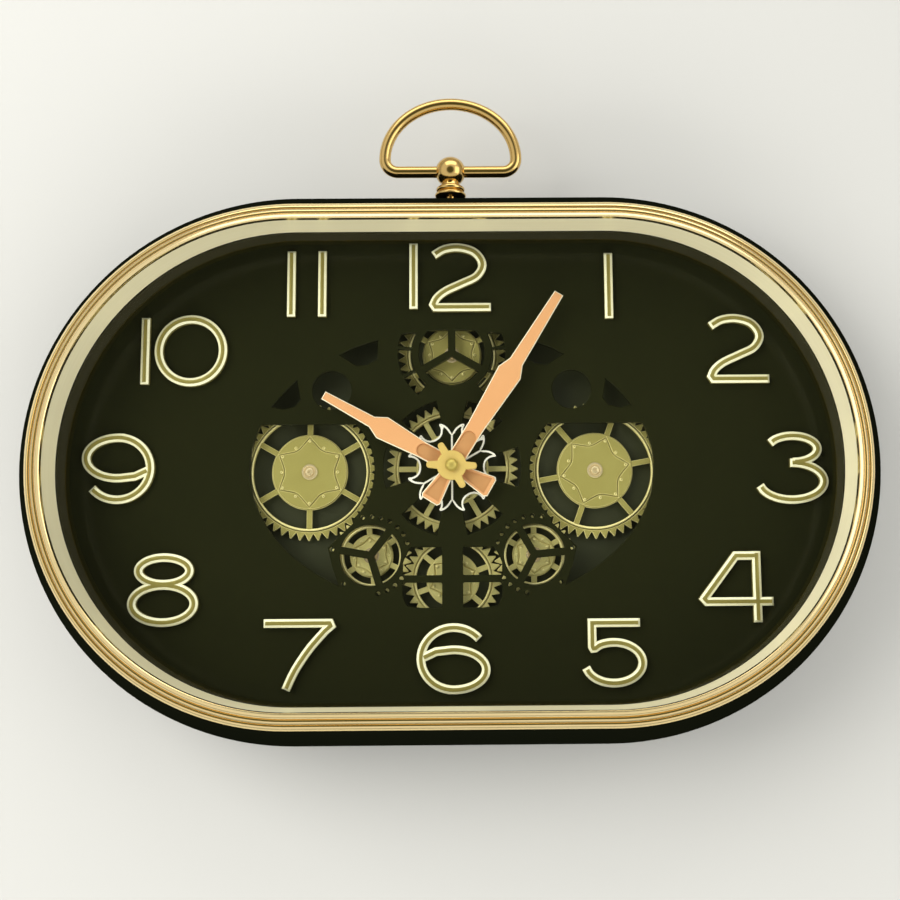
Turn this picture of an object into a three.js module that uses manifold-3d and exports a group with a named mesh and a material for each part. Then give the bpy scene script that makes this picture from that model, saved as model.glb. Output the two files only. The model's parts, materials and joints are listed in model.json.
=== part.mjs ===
// Oval wall clock with an open gear train behind a skeleton dial.
// Every piece is laid out in the face frame: x to the right, y up, z from the wall towards the viewer, in
// millimetres, with the origin on the wall behind the arbor of the hands. The finished group stands the face
// upright, so that +Z is up and the dial looks along -Y.

import * as THREE from 'three';
import { mergeVertices } from 'three/addons/utils/BufferGeometryUtils.js';
import Module from 'manifold-3d';

const wasm = await Module();
wasm.setup();

// Clearances
const GAP = 0.3; // between two pieces that seat on each other
const RUN = 0.25; // radial running clearance of a turning piece on its pin

// Oval outline: two round ends joined by straight runs
const STRAIGHT = 160; // length of the straight runs
const FACE_RADIUS = 122.5; // inside of the champagne wall at the round ends
const END_FACETS = 14; // facets round each end

// Radial widths of the rings, from the face outwards
const LINER_THICK = 2.1; // champagne wall at its foot
const WALL_DRAFT = 1.1; // how far the champagne wall leans outwards at its top
const SPACER_THICK = 4.2; // black ring between glass and dial
const SPACER_DRAFT = 0.6; // how far that ring leans inwards at its foot
const DIAL_LAP = 3.2; // how far the dial reaches past the spacer, onto the ledge of the body
const BEZEL_WIDTH = 10; // from the face to the outer edge of the gold moulding
const BODY_BULGE = 10.9; // how far the body swells past the gold edge
const BODY_TAPER = 3; // how much the body draws in towards the wall
const BODY_WALL = 3.9; // wall of the hollow rear half of the body
const RIM_WIDTH = 2.7; // rim that meets the wall
const BELT = 5; // upright belt of the body in front of the dial
const LEDGE_SKIRT = 2; // skirt of the body behind the dial's edge
const HOLLOW_DEPTH = 8; // the body's wall thins down over this depth behind the dial

// Depths of the case, from the wall towards the viewer
const COVER_RECESS = 4; // rear cover, sunk behind the rim
const COVER_THICK = 2.5;
const FLANGE_THICK = 3.4; // rear flange that takes the cover screws
const DIAL_THICK = 3;
const GLASS_THICK = 2.5;
const WALL_HEIGHT = 17.5; // champagne wall above the glass
const BEZEL_RISE = 3.4; // roll of the bezel above the champagne wall
const BEZEL_DEPTH = 11.4; // whole bezel, from its seat to the top of its roll
const BEZEL_EDGE = 1.4; // height of the rounding of its outer edge

// Gear train: tooth counts, and the directions in which the side gears stand off the gears that drive them
const MODULE = 1.55;
const ADDENDUM = 1.6;
const DEDENDUM = 2.3;
const CENTER_TEETH = 44;
const TOP_TEETH = 36;
const BOTTOM_TEETH = 32;
const SMALL_TEETH = 26;
const BIG_TEETH = 46;
const SMALL_ANGLE = 16.5; // small gear from the bottom gear, above the horizontal
const BIG_ANGLE = 53.5; // big gear from the small gear, above the horizontal
const GEAR_THICK = 2.5;
const GEAR_LIFT = 2.2; // gear above its plate
const GEAR_RIM = 3.1; // solid rim below the teeth
const HUB_SHARE = 0.57; // hub disc as a share of the pitch radius
const HUB_RISE = 1; // hub disc above the gear
const HUB_STEP = 0.7; // raised hub inside the roots of the spokes
const BOSS_WALL = 1.8; // boss behind a gear, round its bore
const SPOKES = 6;
const SPOKE_WIDTH = 3.4;
const PIN_RADIUS = 2; // pins that carry the gears
const PIN_HEAD = 3.6;
const PIN_HEAD_HEIGHT = 1.3;
const RIVET_HEIGHT = 1.1; // rivet heads behind the plate
const DIAL_CLEAR = 2.2; // dial above the heads of the pins

// Plate behind the gears, and the bosses of the dial that carry it
const PLATE_THICK = 2;
const PLATE_HALF_WIDTH = 116;
const PLATE_HALF_HEIGHT = 80;
const PLATE_CORNER = 30;
const BOSS_X = 104;
const BOSS_Y = 58;
const BOSS_RADIUS = 3.5;
const STAKE_RADIUS = 1.8;

// Skeleton windows of the dial
const SKELETON_HALF_WIDTH = 107;
const SKELETON_HALF_HEIGHT = 74.5;
const HUB_WINDOW_INNER = 15.5;
const HUB_WINDOW_OUTER = 36.5;
const HUB_WINDOW_HALF_ANGLE = 17;
const BIG_WINDOW_RADIUS = 35.2;
const BIG_WINDOW_TOP = 23.5; // bar above the big gears
const SMALL_WINDOW_RADIUS = 16;
const TOP_WINDOW_RADIUS = 17.9;
const TOOTH_WINDOW_INNER = 21.8; // slots that show the teeth of the top gear
const TOOTH_WINDOW_OUTER = 28.8;
const SHOULDER_WINDOW_RADIUS = 10.5;
const FOOT_WINDOW_RADIUS = 27.4; // panes in front of the bottom gear
const FOOT_PANE_WIDTH = 20.5;
const FOOT_PANE_IN = 5.5; // panes from the middle of the dial
const FOOT_PANE_ROWS = [[2.2, 16.8], [-14.7, -1.7]]; // bottoms and tops of the panes, from the gear's centre
const TOOTH_WINDOW_ARCS = [[-52, -28], [-24, 4], [8, 28]]; // slots on the right of the top gear
const SHOULDER_WINDOW_X = 64;
const SHOULDER_WINDOW_Y = 41.8;
const WINDOW_STEP = 15; // degrees of arc in one facet of a ring-shaped window
const WINDOW_BAR = 4; // black bars across the small and the top gears

// Drive units behind the plate: a quartz movement for the hands, and a motor for the gears
const CELL_RADIUS = 7.1;
const CELL_LENGTH = 50;
const CELL_BUTTON = 1.6; // height of a cell's button
const CELL_PLAY = 0.35; // room round a cell in its bay
const DRIVE_WALL = 2.6;
const DRIVE_FLOOR = 1.2; // in front of the cell bay
const DRIVE_CORNER = 3;
const MOTOR_ABOVE = 20; // motor above its shaft
const SHAFT_RADIUS = 1.5;
const NECK_RADIUS = 4;
const NECK_WALL = 1.1;
const NUT_RADIUS = 6.4;
const NUT_THICK = 2.4;
const PIPE_WALL = 0.7;
const PIPE_ROOT = 5; // how deep the hour pipe and the motor shaft stand in their boxes
const ARBOR_RADIUS = 1.6;
const ARBOR_ROOT = 2; // how much deeper than the pipe the arbor stands
const KNOB_RADIUS = 6;
const KNOB_HEIGHT = 2.3;
const KNOB_STEM = 1.5;
const KNOB_PLACE = 15; // setting knob from the arbor, to the side and up

// Hands and what is stacked under and over them
const ROSETTE_THICK = 1.2;
const ROSETTE_TIP = 23; // tips of the petals
const ROSETTE_NOTCH = 16.4; // scallops and clefts between the tips
const HAND_THICK = 1.1;
const HAND_CLEAR = 1.2; // between the layers that turn past each other
const HOUR_ANGLE = 298.9; // clockwise from twelve
const MINUTE_ANGLE = 32;
const HOUR_HAND = {
  length: 77.7,
  tip: 2.3,
  stem: 3.1,
  shoulder: 42,
  blade: 6.3,
  root: 4.4,
  tail: 24,
  flare: 6,
};
const MINUTE_HAND = {
  length: 108.5,
  tip: 2.6,
  stem: 3.9,
  shoulder: 58,
  blade: 6.8,
  root: 4.6,
  tail: 22,
  flare: 5.6,
};
const HAND_COLLAR = 2; // width of the ring of a hand round its bore
const CHANNEL_EDGE = 0.8; // rim beside the sunk channel of a hand
const STAR_RADIUS = 7.8;
const STAR_REACH = 13.2;
const STAR_NUB = 4.2;
const STAR_THICK = 1.5;
const CAP_RADIUS = 3.4;
const CAP_HEIGHT = 3;
const GLASS_CLEAR = 3.2; // glass above the cap

// Numerals
const STROKE = 4.6;
const NUMERAL_HEIGHT = 3.4; // above the dial
const NUMERAL_DRAFT = 1.15; // how much each flank leans in
const ARC_STEP = 27; // degrees of arc in one facet

// Bow, its ball and its ribbed neck
const BOW_WIRE = 3.1; // radius of the wire
const BOW_HALF_WIDTH = 35.1; // centre line of the wire
const BOW_HEIGHT = 38;
const BOW_CORNER = 7;
const BOW_LIFT = 14.7; // bar above the top of the body
const BOW_SPLIT = 1.2; // the two ends of the wire stop this far apart inside the ball
const BOW_FORWARD = 12; // bow in front of the dial
const BALL_RADIUS = 7.8;
const NECK_RIB = 8;
const NECK_WAIST = 5;
const STUD_RADIUS = 2.7;
const STUD_LENGTH = 8;

// Rear fittings
const HANGER_WIDTH = 56;
const HANGER_HEIGHT = 22;
const HANGER_THICK = 1.2;
const HANGER_DROP = 33.4; // hanger below the top of the rear cover
const NAIL_HEAD = 5.2; // radius of the keyhole's round end
const NAIL_SHANK = 2.3; // half the width of its slot
const KEYHOLE_RUN = 9;
const NAIL_POCKET = 28; // window of the cover behind the keyhole
const SCREW_RADIUS = 1.4;
const SCREW_HEAD = 2.8;
const SCREW_HEAD_HEIGHT = 1.5;
const SCREW_LENGTH = 7;
const SCREW_ANGLE = 62; // place of the cover screws on the round ends
const CLAMP_RADIUS = 4; // posts of the cover that press the dial onto its ledge
const CLAMP_ANGLE = 45; // their place on the round ends

// Levels that follow from the stack
const coverFront = COVER_RECESS + COVER_THICK;
const cellBay = CELL_RADIUS + CELL_PLAY;
const driveBack = COVER_RECESS + GAP;
const driveFront = driveBack + 2 * cellBay + DRIVE_FLOOR;
const plateBack = driveFront + GAP;
const plateFront = plateBack + PLATE_THICK;
const gearBack = plateFront + GEAR_LIFT;
const hubTop = gearBack + GEAR_THICK + HUB_RISE;
const dialBack = hubTop + GAP + PIN_HEAD_HEIGHT + DIAL_CLEAR;
const dialFront = dialBack + DIAL_THICK;
const rosetteBack = dialFront + GAP;
const nutBack = rosetteBack + ROSETTE_THICK + GAP;
const neckTop = nutBack + NUT_THICK + GAP;
const hourBack = neckTop + HAND_CLEAR;
const pipeTop = hourBack + HAND_THICK + GAP;
const minuteBack = pipeTop + HAND_CLEAR;
const starBack = minuteBack + HAND_THICK + GAP;
const capBack = starBack + STAR_THICK + GAP;
const arborTop = capBack + 0.6 * CAP_HEIGHT;
const glassBack = capBack + CAP_HEIGHT + GLASS_CLEAR;
const glassFront = glassBack + GLASS_THICK;
const wallTop = glassFront + GAP + WALL_HEIGHT;
const crest = wallTop + GAP + BEZEL_RISE;
const bezelSeat = crest - BEZEL_DEPTH;
const pipeFoot = driveFront - PIPE_ROOT;
const arborFoot = pipeFoot - ARBOR_ROOT;
const bowLevel = dialFront + BOW_FORWARD;

// Radii that follow from the rings
const linerOuter = FACE_RADIUS + LINER_THICK;
const spacerOuter = FACE_RADIUS + SPACER_THICK;
const chamber = spacerOuter + GAP;
const dialRadius = chamber + DIAL_LAP;
const bezelOuter = FACE_RADIUS + BEZEL_WIDTH;
const bodyOuter = bezelOuter + BODY_BULGE;
const rearOuter = bodyOuter - BODY_TAPER;
const coverRadius = rearOuter - RIM_WIDTH - GAP;
const hangerUp = coverRadius - HANGER_DROP;
const flangeInner = dialRadius + 2 * GAP;
const pipeOuter = NECK_RADIUS - NECK_WALL - RUN;
const driveSide = CELL_LENGTH + 2 * (CELL_PLAY + DRIVE_WALL);

const FINISH = {
  blackGloss: { color: 0x14140c, roughness: 0.12, metalness: 0.0 },
  blackSatin: { color: 0x1b1b16, roughness: 0.45, metalness: 0.0 },
  gold: { color: 0xd9bd76, roughness: 0.14, metalness: 1.0 },
  champagne: { color: 0xd8cfa6, roughness: 0.35, metalness: 0.8 },
  oliveGold: { color: 0xa5964f, roughness: 0.32, metalness: 1.0 },
  roseGold: { color: 0xf0b084, roughness: 0.3, metalness: 0.7 },
  creamGold: { color: 0xe1be78, roughness: 0.3, metalness: 0.8 },
  brass: { color: 0xc9a94e, roughness: 0.25, metalness: 1.0 },
  steel: { color: 0xb8babc, roughness: 0.35, metalness: 1.0 },
  glass: { color: 0xf4f8f6, roughness: 0.02, metalness: 0.0, transparent: true, opacity: 0.12 },
  cell: { color: 0x35383c, roughness: 0.4, metalness: 0.2 },
  ivory: { color: 0xd8d4c6, roughness: 0.5, metalness: 0.0 },
};

const QUADRANTS = [[1, 1], [-1, 1], [-1, -1], [1, -1]];

// Solids

function radians(degrees) {
  return degrees * Math.PI / 180;
}

// Six times the signed volume, which is negative where the faces point inwards.
function signedVolume(positions, triangles) {
  let sum = 0;
  const corner = [new THREE.Vector3(), new THREE.Vector3(), new THREE.Vector3()];
  for (let i = 0; i < triangles.length; i += 3) {
    corner.forEach((point, k) => point.fromArray(positions, 3 * triangles[i + k]));
    sum += corner[0].dot(corner[1].cross(corner[2]));
  }
  return sum;
}

// A closed solid of a geometry, with its shared vertices merged and its faces pointing out.
function solid(geometry) {
  const bare = geometry.clone();
  bare.deleteAttribute('normal');
  bare.deleteAttribute('uv');
  const merged = mergeVertices(bare, 1e-4);
  const positions = merged.attributes.position.array;
  const triangles = [];
  for (let i = 0; i < merged.index.count; i += 3) {
    const [a, b, c] = [0, 1, 2].map((k) => merged.index.getX(i + k));
    if (a !== b && b !== c && c !== a) {
      triangles.push(a, b, c);
    }
  }
  if (signedVolume(positions, triangles) < 0) {
    triangles.reverse();
  }
  return new wasm.Manifold(new wasm.Mesh({
    numProp: 3,
    vertProperties: new Float32Array(positions),
    triVerts: new Uint32Array(triangles),
  }));
}

function joined(...solids) {
  return solids.reduce((sum, next) => sum.add(next));
}

function cut(body, ...tools) {
  return tools.reduce((rest, tool) => rest.subtract(tool), body);
}

function meshOf(positions, index) {
  const geometry = new THREE.BufferGeometry();
  geometry.setAttribute('position', new THREE.Float32BufferAttribute(positions, 3));
  geometry.setIndex(index);
  return geometry;
}

// A plate of a shape between two levels.
function slab(shape, low, high) {
  const geometry = new THREE.ExtrudeGeometry(shape, { depth: high - low, bevelEnabled: false });
  return solid(geometry.translate(0, 0, low));
}

function polygon(points) {
  return new THREE.Shape(points.map(([x, y]) => new THREE.Vector2(x, y)));
}

// Points of an arc, both ends included.
function arc(x, y, radiusX, radiusY, from, to, step = ARC_STEP) {
  const count = Math.ceil(Math.abs(to - from) / step);
  const points = [];
  for (let i = 0; i <= count; i++) {
    const angle = radians(from + (to - from) * i / count);
    points.push([x + radiusX * Math.cos(angle), y + radiusY * Math.sin(angle)]);
  }
  return points;
}

function rod(radius, low, high, x = 0, y = 0, sides = 12) {
  return slab(polygon(arc(x, y, radius, radius, 0, 360, 360 / sides).slice(1)), low, high);
}

function block(left, right, bottom, top, low, high) {
  return slab(polygon([[left, bottom], [right, bottom], [right, top], [left, top]]), low, high);
}

// A turned piece about z from a profile of [radius, level] pairs that starts and ends on the axis.
function turned(profile, sides) {
  const points = profile.map(([radius, level]) => new THREE.Vector2(radius, level));
  return solid(new THREE.LatheGeometry(points, sides).rotateX(Math.PI / 2));
}

// Part of a ring between two radii and two angles.
function sector(inner, outer, from, to, x, y, low, high) {
  const rim = arc(x, y, outer, outer, from, to, WINDOW_STEP);
  return slab(polygon([...rim, ...arc(x, y, inner, inner, to, from, WINDOW_STEP)]), low, high);
}

// Points of the oval at a radius, anticlockwise.
function ovalPoints(radius) {
  const half = STRAIGHT / 2;
  const step = 180 / END_FACETS;
  return [...arc(half, 0, radius, radius, -90, 90, step), ...arc(-half, 0, radius, radius, 90, 270, step)];
}

function ovalSlab(radius, low, high) {
  return slab(polygon(ovalPoints(radius)), low, high);
}

// A ring that carries a closed profile of [radius, level] pairs round the oval.
function ovalRing(profile) {
  const loops = profile.map(([radius, level]) => ovalPoints(radius).map(([x, y]) => [x, y, level]));
  const stations = loops[0].length;
  const index = [];
  loops.forEach((loop, j) => {
    const next = (j + 1) % loops.length;
    loop.forEach((point, i) => {
      const along = (i + 1) % stations;
      const [a, b] = [j * stations + i, j * stations + along];
      const [c, d] = [next * stations + along, next * stations + i];
      index.push(a, b, c, a, c, d);
    });
  });
  return solid(meshOf(loops.flat(2), index));
}

// A point on the round ends: signs of its quadrant, radius, and angle from the horizontal.
function endPoint(signX, signY, radius, degrees) {
  const [x, y] = [radius * Math.cos(radians(degrees)), radius * Math.sin(radians(degrees))];
  return [signX * (STRAIGHT / 2 + x), signY * y];
}

// Assembly

const face = new THREE.Group();

function place(name, body, finish, x = 0, y = 0, z = 0, turn = 0) {
  const { vertProperties, triVerts } = body.getMesh();
  const geometry = meshOf(vertProperties, Array.from(triVerts));
  geometry.computeVertexNormals();
  const mesh = new THREE.Mesh(geometry, new THREE.MeshStandardMaterial(finish));
  mesh.name = name;
  mesh.position.set(x, y, z);
  mesh.rotation.z = turn;
  face.add(mesh);
}

// Gear train: each gear stands off the gear that drives it by the sum of their pitch radii

function pitchRadius(teeth) {
  return MODULE * teeth / 2;
}

// A gear in the given direction from the gear that drives it, turned so that a gap faces the driver's tooth.
function driven(driver, teeth, direction) {
  const line = radians(direction);
  const reach = pitchRadius(driver.teeth) + pitchRadius(teeth);
  const lead = (line - driver.phase) * driver.teeth / (2 * Math.PI);
  return {
    x: driver.x + reach * Math.cos(line),
    y: driver.y + reach * Math.sin(line),
    teeth,
    phase: line + Math.PI - (0.5 - lead) * 2 * Math.PI / teeth,
  };
}

const centerGear = { x: 0, y: 0, teeth: CENTER_TEETH, phase: 0 };
const topGear = driven(centerGear, TOP_TEETH, 90);
const bottomGear = driven(centerGear, BOTTOM_TEETH, 270);
const lowerLeftGear = driven(bottomGear, SMALL_TEETH, 180 - SMALL_ANGLE);
const lowerRightGear = driven(bottomGear, SMALL_TEETH, SMALL_ANGLE);
const leftGear = driven(lowerLeftGear, BIG_TEETH, 180 - BIG_ANGLE);
const rightGear = driven(lowerRightGear, BIG_TEETH, BIG_ANGLE);

function toothedOutline(gear) {
  const tip = pitchRadius(gear.teeth) + ADDENDUM;
  const root = pitchRadius(gear.teeth) - DEDENDUM;
  const points = [];
  for (let i = 0; i < gear.teeth; i++) {
    const angle = gear.phase + 2 * Math.PI * i / gear.teeth;
    const valley = angle + Math.PI / gear.teeth;
    points.push([tip * Math.cos(angle), tip * Math.sin(angle)]);
    points.push([root * Math.cos(valley), root * Math.sin(valley)]);
  }
  return polygon(points);
}

// Window between two spokes.
function spokeWindow(inner, outer, middle) {
  const span = (radius) => 180 / SPOKES - Math.asin(SPOKE_WIDTH / 2 / radius) * 180 / Math.PI;
  const rim = arc(0, 0, outer, outer, middle - span(outer), middle + span(outer), 18);
  const hub = arc(0, 0, inner, inner, middle + span(inner), middle - span(inner));
  return new THREE.Path([...rim, ...hub].map(([x, y]) => new THREE.Vector2(x, y)));
}

// A spoked gear about its own axis, from the plane of its back face.
function spokedGear(gear, bore, spokeAngle, boreSides = 8) {
  const pitch = pitchRadius(gear.teeth);
  const hub = HUB_SHARE * pitch;
  const outline = toothedOutline(gear);
  for (let i = 0; i < SPOKES; i++) {
    outline.holes.push(spokeWindow(hub, pitch - DEDENDUM - GEAR_RIM, spokeAngle + (i + 0.5) * 360 / SPOKES));
  }
  const foot = GAP - GEAR_LIFT;
  const top = GEAR_THICK + HUB_RISE;
  return cut(
    joined(
      slab(outline, 0, GEAR_THICK),
      rod(hub - HUB_STEP, GEAR_THICK / 2, top, 0, 0, 16),
      rod(bore + BOSS_WALL, foot, GEAR_THICK / 2, 0, 0, boreSides),
    ),
    rod(bore, foot - 1, top + 1, 0, 0, boreSides),
  );
}

// A headed pin that carries a gear: riveted behind the plate, headed in front of the hub.
function gearPin() {
  const head = GEAR_THICK + HUB_RISE + GAP;
  const rivet = -GEAR_LIFT - PLATE_THICK - GAP;
  return turned([
    [0, rivet - RIVET_HEIGHT],
    [PIN_HEAD, rivet - RIVET_HEIGHT],
    [PIN_HEAD, rivet],
    [PIN_RADIUS, rivet],
    [PIN_RADIUS, head],
    [PIN_HEAD, head],
    [0.7 * PIN_HEAD, head + PIN_HEAD_HEIGHT],
    [0, head + PIN_HEAD_HEIGHT],
  ], 8);
}

function gearPlate() {
  const run = PLATE_HALF_WIDTH - PLATE_CORNER;
  const rise = PLATE_HALF_HEIGHT - PLATE_CORNER;
  const corners = QUADRANTS.map(([sx, sy], i) => (
    arc(sx * run, sy * rise, PLATE_CORNER, PLATE_CORNER, 90 * i, 90 * (i + 1), 22.5)
  ));
  const low = plateBack - 1;
  const high = plateFront + 1;
  const pins = [topGear, lowerLeftGear, lowerRightGear, leftGear, rightGear].map((gear) => (
    rod(PIN_RADIUS + GAP, low, high, gear.x, gear.y, 8)
  ));
  const stakes = QUADRANTS.map(([sx, sy]) => rod(STAKE_RADIUS + GAP, low, high, sx * BOSS_X, sy * BOSS_Y, 8));
  return cut(
    slab(polygon(corners.flat()), plateBack, plateFront),
    rod(NECK_RADIUS + GAP, low, high),
    rod(SHAFT_RADIUS + GAP, low, high, bottomGear.x, bottomGear.y, 8),
    ...pins,
    ...stakes,
  );
}

// Case

function coverScrewPlaces() {
  const radius = (flangeInner + coverRadius) / 2;
  return QUADRANTS.map(([sx, sy]) => endPoint(sx, sy, radius, SCREW_ANGLE));
}

function hangerScrewPlaces() {
  const x = HANGER_WIDTH / 2 - 1.5 * SCREW_HEAD;
  return [[-x, hangerUp], [x, hangerUp]];
}

function caseBody() {
  const flangeFront = coverFront + GAP + FLANGE_THICK;
  const shoulder = bezelSeat + 0.41 * BEZEL_DEPTH;
  const hollow = dialBack - HOLLOW_DEPTH;
  const ring = ovalRing([
    [rearOuter, 0],
    [rearOuter + 0.6 * BODY_TAPER, 0.35 * dialBack],
    [bodyOuter, dialBack],
    [bodyOuter, dialFront + BELT],
    [bodyOuter - 0.16 * BODY_BULGE, glassBack],
    [bodyOuter - 0.4 * BODY_BULGE, bezelSeat - 0.42 * BEZEL_DEPTH],
    [bodyOuter - 0.64 * BODY_BULGE, bezelSeat],
    [bodyOuter - 0.92 * BODY_BULGE, shoulder],
    [bezelOuter + GAP, shoulder],
    [bezelOuter + GAP, bezelSeat - GAP],
    [linerOuter + GAP, bezelSeat - GAP],
    [linerOuter + GAP, glassFront + GAP],
    [chamber, glassFront + GAP],
    [chamber, dialFront + GAP],
    [dialRadius + GAP, dialFront + GAP],
    [dialRadius + GAP, dialBack - LEDGE_SKIRT],
    [bodyOuter - BODY_WALL, hollow],
    [rearOuter + 0.4 * BODY_TAPER - BODY_WALL, flangeFront],
    [flangeInner, flangeFront],
    [flangeInner, coverFront + GAP],
    [coverRadius + GAP, coverFront + GAP],
    [coverRadius + GAP, 0],
  ]);
  const stud = solid(new THREE.CylinderGeometry(STUD_RADIUS + GAP, STUD_RADIUS + GAP, STUD_LENGTH + 2, 8));
  const pilots = coverScrewPlaces().map(([x, y]) => (
    rod(SCREW_RADIUS + GAP, coverFront, flangeFront + 1, x, y, 6)
  ));
  return cut(ring, stud.translate([0, bodyOuter + 1 - STUD_LENGTH / 2, bowLevel]), ...pilots);
}

// Three rolls that climb from the outer edge to the face.
function goldBezel() {
  const inner = FACE_RADIUS + WALL_DRAFT - GAP;
  const step = (bezelOuter - inner) / 10;
  const low = crest - BEZEL_RISE;
  return ovalRing([
    [bezelOuter, bezelSeat],
    [bezelOuter, low - BEZEL_EDGE],
    [bezelOuter - 0.7 * step, low],
    [bezelOuter - 1.8 * step, low + 0.09 * BEZEL_RISE],
    [bezelOuter - 2.6 * step, low - 0.15 * BEZEL_RISE],
    [bezelOuter - 3.2 * step, low + 0.4 * BEZEL_RISE],
    [bezelOuter - 4.4 * step, low + 0.5 * BEZEL_RISE],
    [bezelOuter - 5.1 * step, low + 0.22 * BEZEL_RISE],
    [bezelOuter - 6 * step, low + 0.78 * BEZEL_RISE],
    [bezelOuter - 7.9 * step, crest],
    [bezelOuter - 9.5 * step, low + 0.78 * BEZEL_RISE],
    [inner, wallTop + GAP],
    [linerOuter + GAP, wallTop + GAP],
    [linerOuter + GAP, bezelSeat],
  ]);
}

// Ring with an upright outer side and an inner side that leans outwards by a draft.
function upright(inner, outer, low, high, draft = 0) {
  return ovalRing([[inner, low], [outer, low], [outer, high], [inner + draft, high]]);
}

function backCover() {
  const low = COVER_RECESS - 1;
  const high = coverFront + 1;
  const side = driveSide / 2 + 2 * GAP;
  const pocket = NAIL_POCKET / 2;
  const posts = QUADRANTS.map(([sx, sy]) => {
    const [x, y] = endPoint(sx, sy, dialRadius - 1.4 * CLAMP_RADIUS, CLAMP_ANGLE);
    return rod(CLAMP_RADIUS, coverFront - 1, dialBack - GAP, x, y, 8);
  });
  const holes = [...coverScrewPlaces(), ...hangerScrewPlaces()].map(([x, y]) => (
    rod(SCREW_RADIUS + GAP, low, high, x, y, 6)
  ));
  return cut(
    joined(ovalSlab(coverRadius, COVER_RECESS, coverFront), ...posts),
    block(-side, side, -side, side, low, high),
    block(-side, side, motorBottom - 2 * GAP, motorTop + 2 * GAP, low, high),
    block(-pocket, pocket, hangerUp - 0.8 * pocket, hangerUp + 0.8 * pocket, low, high),
    ...holes,
  );
}

function hangerPlate() {
  const back = COVER_RECESS - GAP - HANGER_THICK;
  const end = HANGER_HEIGHT / 2;
  const run = HANGER_WIDTH / 2 - end;
  const right = arc(run, hangerUp, end, end, -90, 90);
  const left = arc(-run, hangerUp, end, end, 90, 270);
  const low = hangerUp - KEYHOLE_RUN / 2;
  const holes = hangerScrewPlaces().map(([x, y]) => rod(SCREW_RADIUS + GAP, back - 1, COVER_RECESS, x, y, 6));
  return cut(
    slab(polygon([...right, ...left]), back, back + HANGER_THICK),
    rod(NAIL_HEAD, back - 1, COVER_RECESS, 0, low),
    block(-NAIL_SHANK, NAIL_SHANK, low, low + KEYHOLE_RUN, back - 1, COVER_RECESS),
    ...holes,
  );
}

// A pan-head screw that goes in along +z from the level under its head.
function screw() {
  return turned([
    [0, -SCREW_HEAD_HEIGHT],
    [0.7 * SCREW_HEAD, -SCREW_HEAD_HEIGHT],
    [SCREW_HEAD, -0.6 * SCREW_HEAD_HEIGHT],
    [SCREW_HEAD, 0],
    [SCREW_RADIUS, 0],
    [SCREW_RADIUS, 0.8 * SCREW_LENGTH],
    [0, SCREW_LENGTH],
  ], 6);
}

// Bow and its post, about the centre of the ball

// Half of the bow runs from the ball along the bar, round a corner and up a quarter of an ellipse.
function bowPath() {
  const corner = arc(BOW_HALF_WIDTH - BOW_CORNER, BOW_CORNER, BOW_CORNER, BOW_CORNER, -90, 0, 30);
  const crown = arc(0, BOW_CORNER, BOW_HALF_WIDTH, BOW_HEIGHT - BOW_CORNER, 0, 90, 15).slice(1);
  const half = [[BOW_SPLIT / 2, 0], [1.3 * BALL_RADIUS, 0], [0.6 * BOW_HALF_WIDTH, 0], ...corner, ...crown];
  const other = half.slice(0, -1).reverse().map(([x, y]) => [-x, y]);
  const route = [...half, ...other].map(([x, y]) => new THREE.Vector3(x, y, 0));
  return new THREE.CatmullRomCurve3(route, false, 'centripetal');
}

function bowRing() {
  const wire = polygon(arc(0, 0, BOW_WIRE, BOW_WIRE, 0, 360, 45).slice(1));
  return solid(new THREE.ExtrudeGeometry(wire, { steps: 30, bevelEnabled: false, extrudePath: bowPath() }));
}

function bowPost() {
  const seat = GAP - BOW_LIFT;
  const neck = -Math.sqrt(BALL_RADIUS ** 2 - NECK_WAIST ** 2);
  const rib = (neck - seat) / 3;
  const lowest = Math.asin(neck / BALL_RADIUS) * 180 / Math.PI;
  const ball = arc(0, 0, BALL_RADIUS, BALL_RADIUS, lowest, 90, 30).slice(1, -1);
  const profile = [
    [0, seat - STUD_LENGTH],
    [STUD_RADIUS, seat - STUD_LENGTH],
    [STUD_RADIUS, seat],
    [NECK_RIB, seat],
    [NECK_RIB, seat + 0.8 * rib],
    [0.8 * NECK_RIB, seat + rib],
    [0.92 * NECK_RIB, seat + 1.3 * rib],
    [0.92 * NECK_RIB, seat + 1.9 * rib],
    [0.7 * NECK_RIB, seat + 2.2 * rib],
    [NECK_WAIST, neck],
    ...ball,
    [0, BALL_RADIUS],
  ];
  const points = profile.map(([radius, level]) => new THREE.Vector2(radius, level));
  const bore = new THREE.CylinderGeometry(BOW_WIRE + GAP, BOW_WIRE + GAP, 4 * BALL_RADIUS, 12);
  return cut(solid(new THREE.LatheGeometry(points, 12)), solid(bore.rotateZ(Math.PI / 2)));
}

// Dial

function barsAcross(gear, angles, low, high) {
  return angles.map((degrees) => {
    const bar = block(0, 2 * TOP_WINDOW_RADIUS, -WINDOW_BAR / 2, WINDOW_BAR / 2, low, high);
    return bar.rotate([0, 0, degrees]).translate([gear.x, gear.y, 0]);
  });
}

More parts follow.
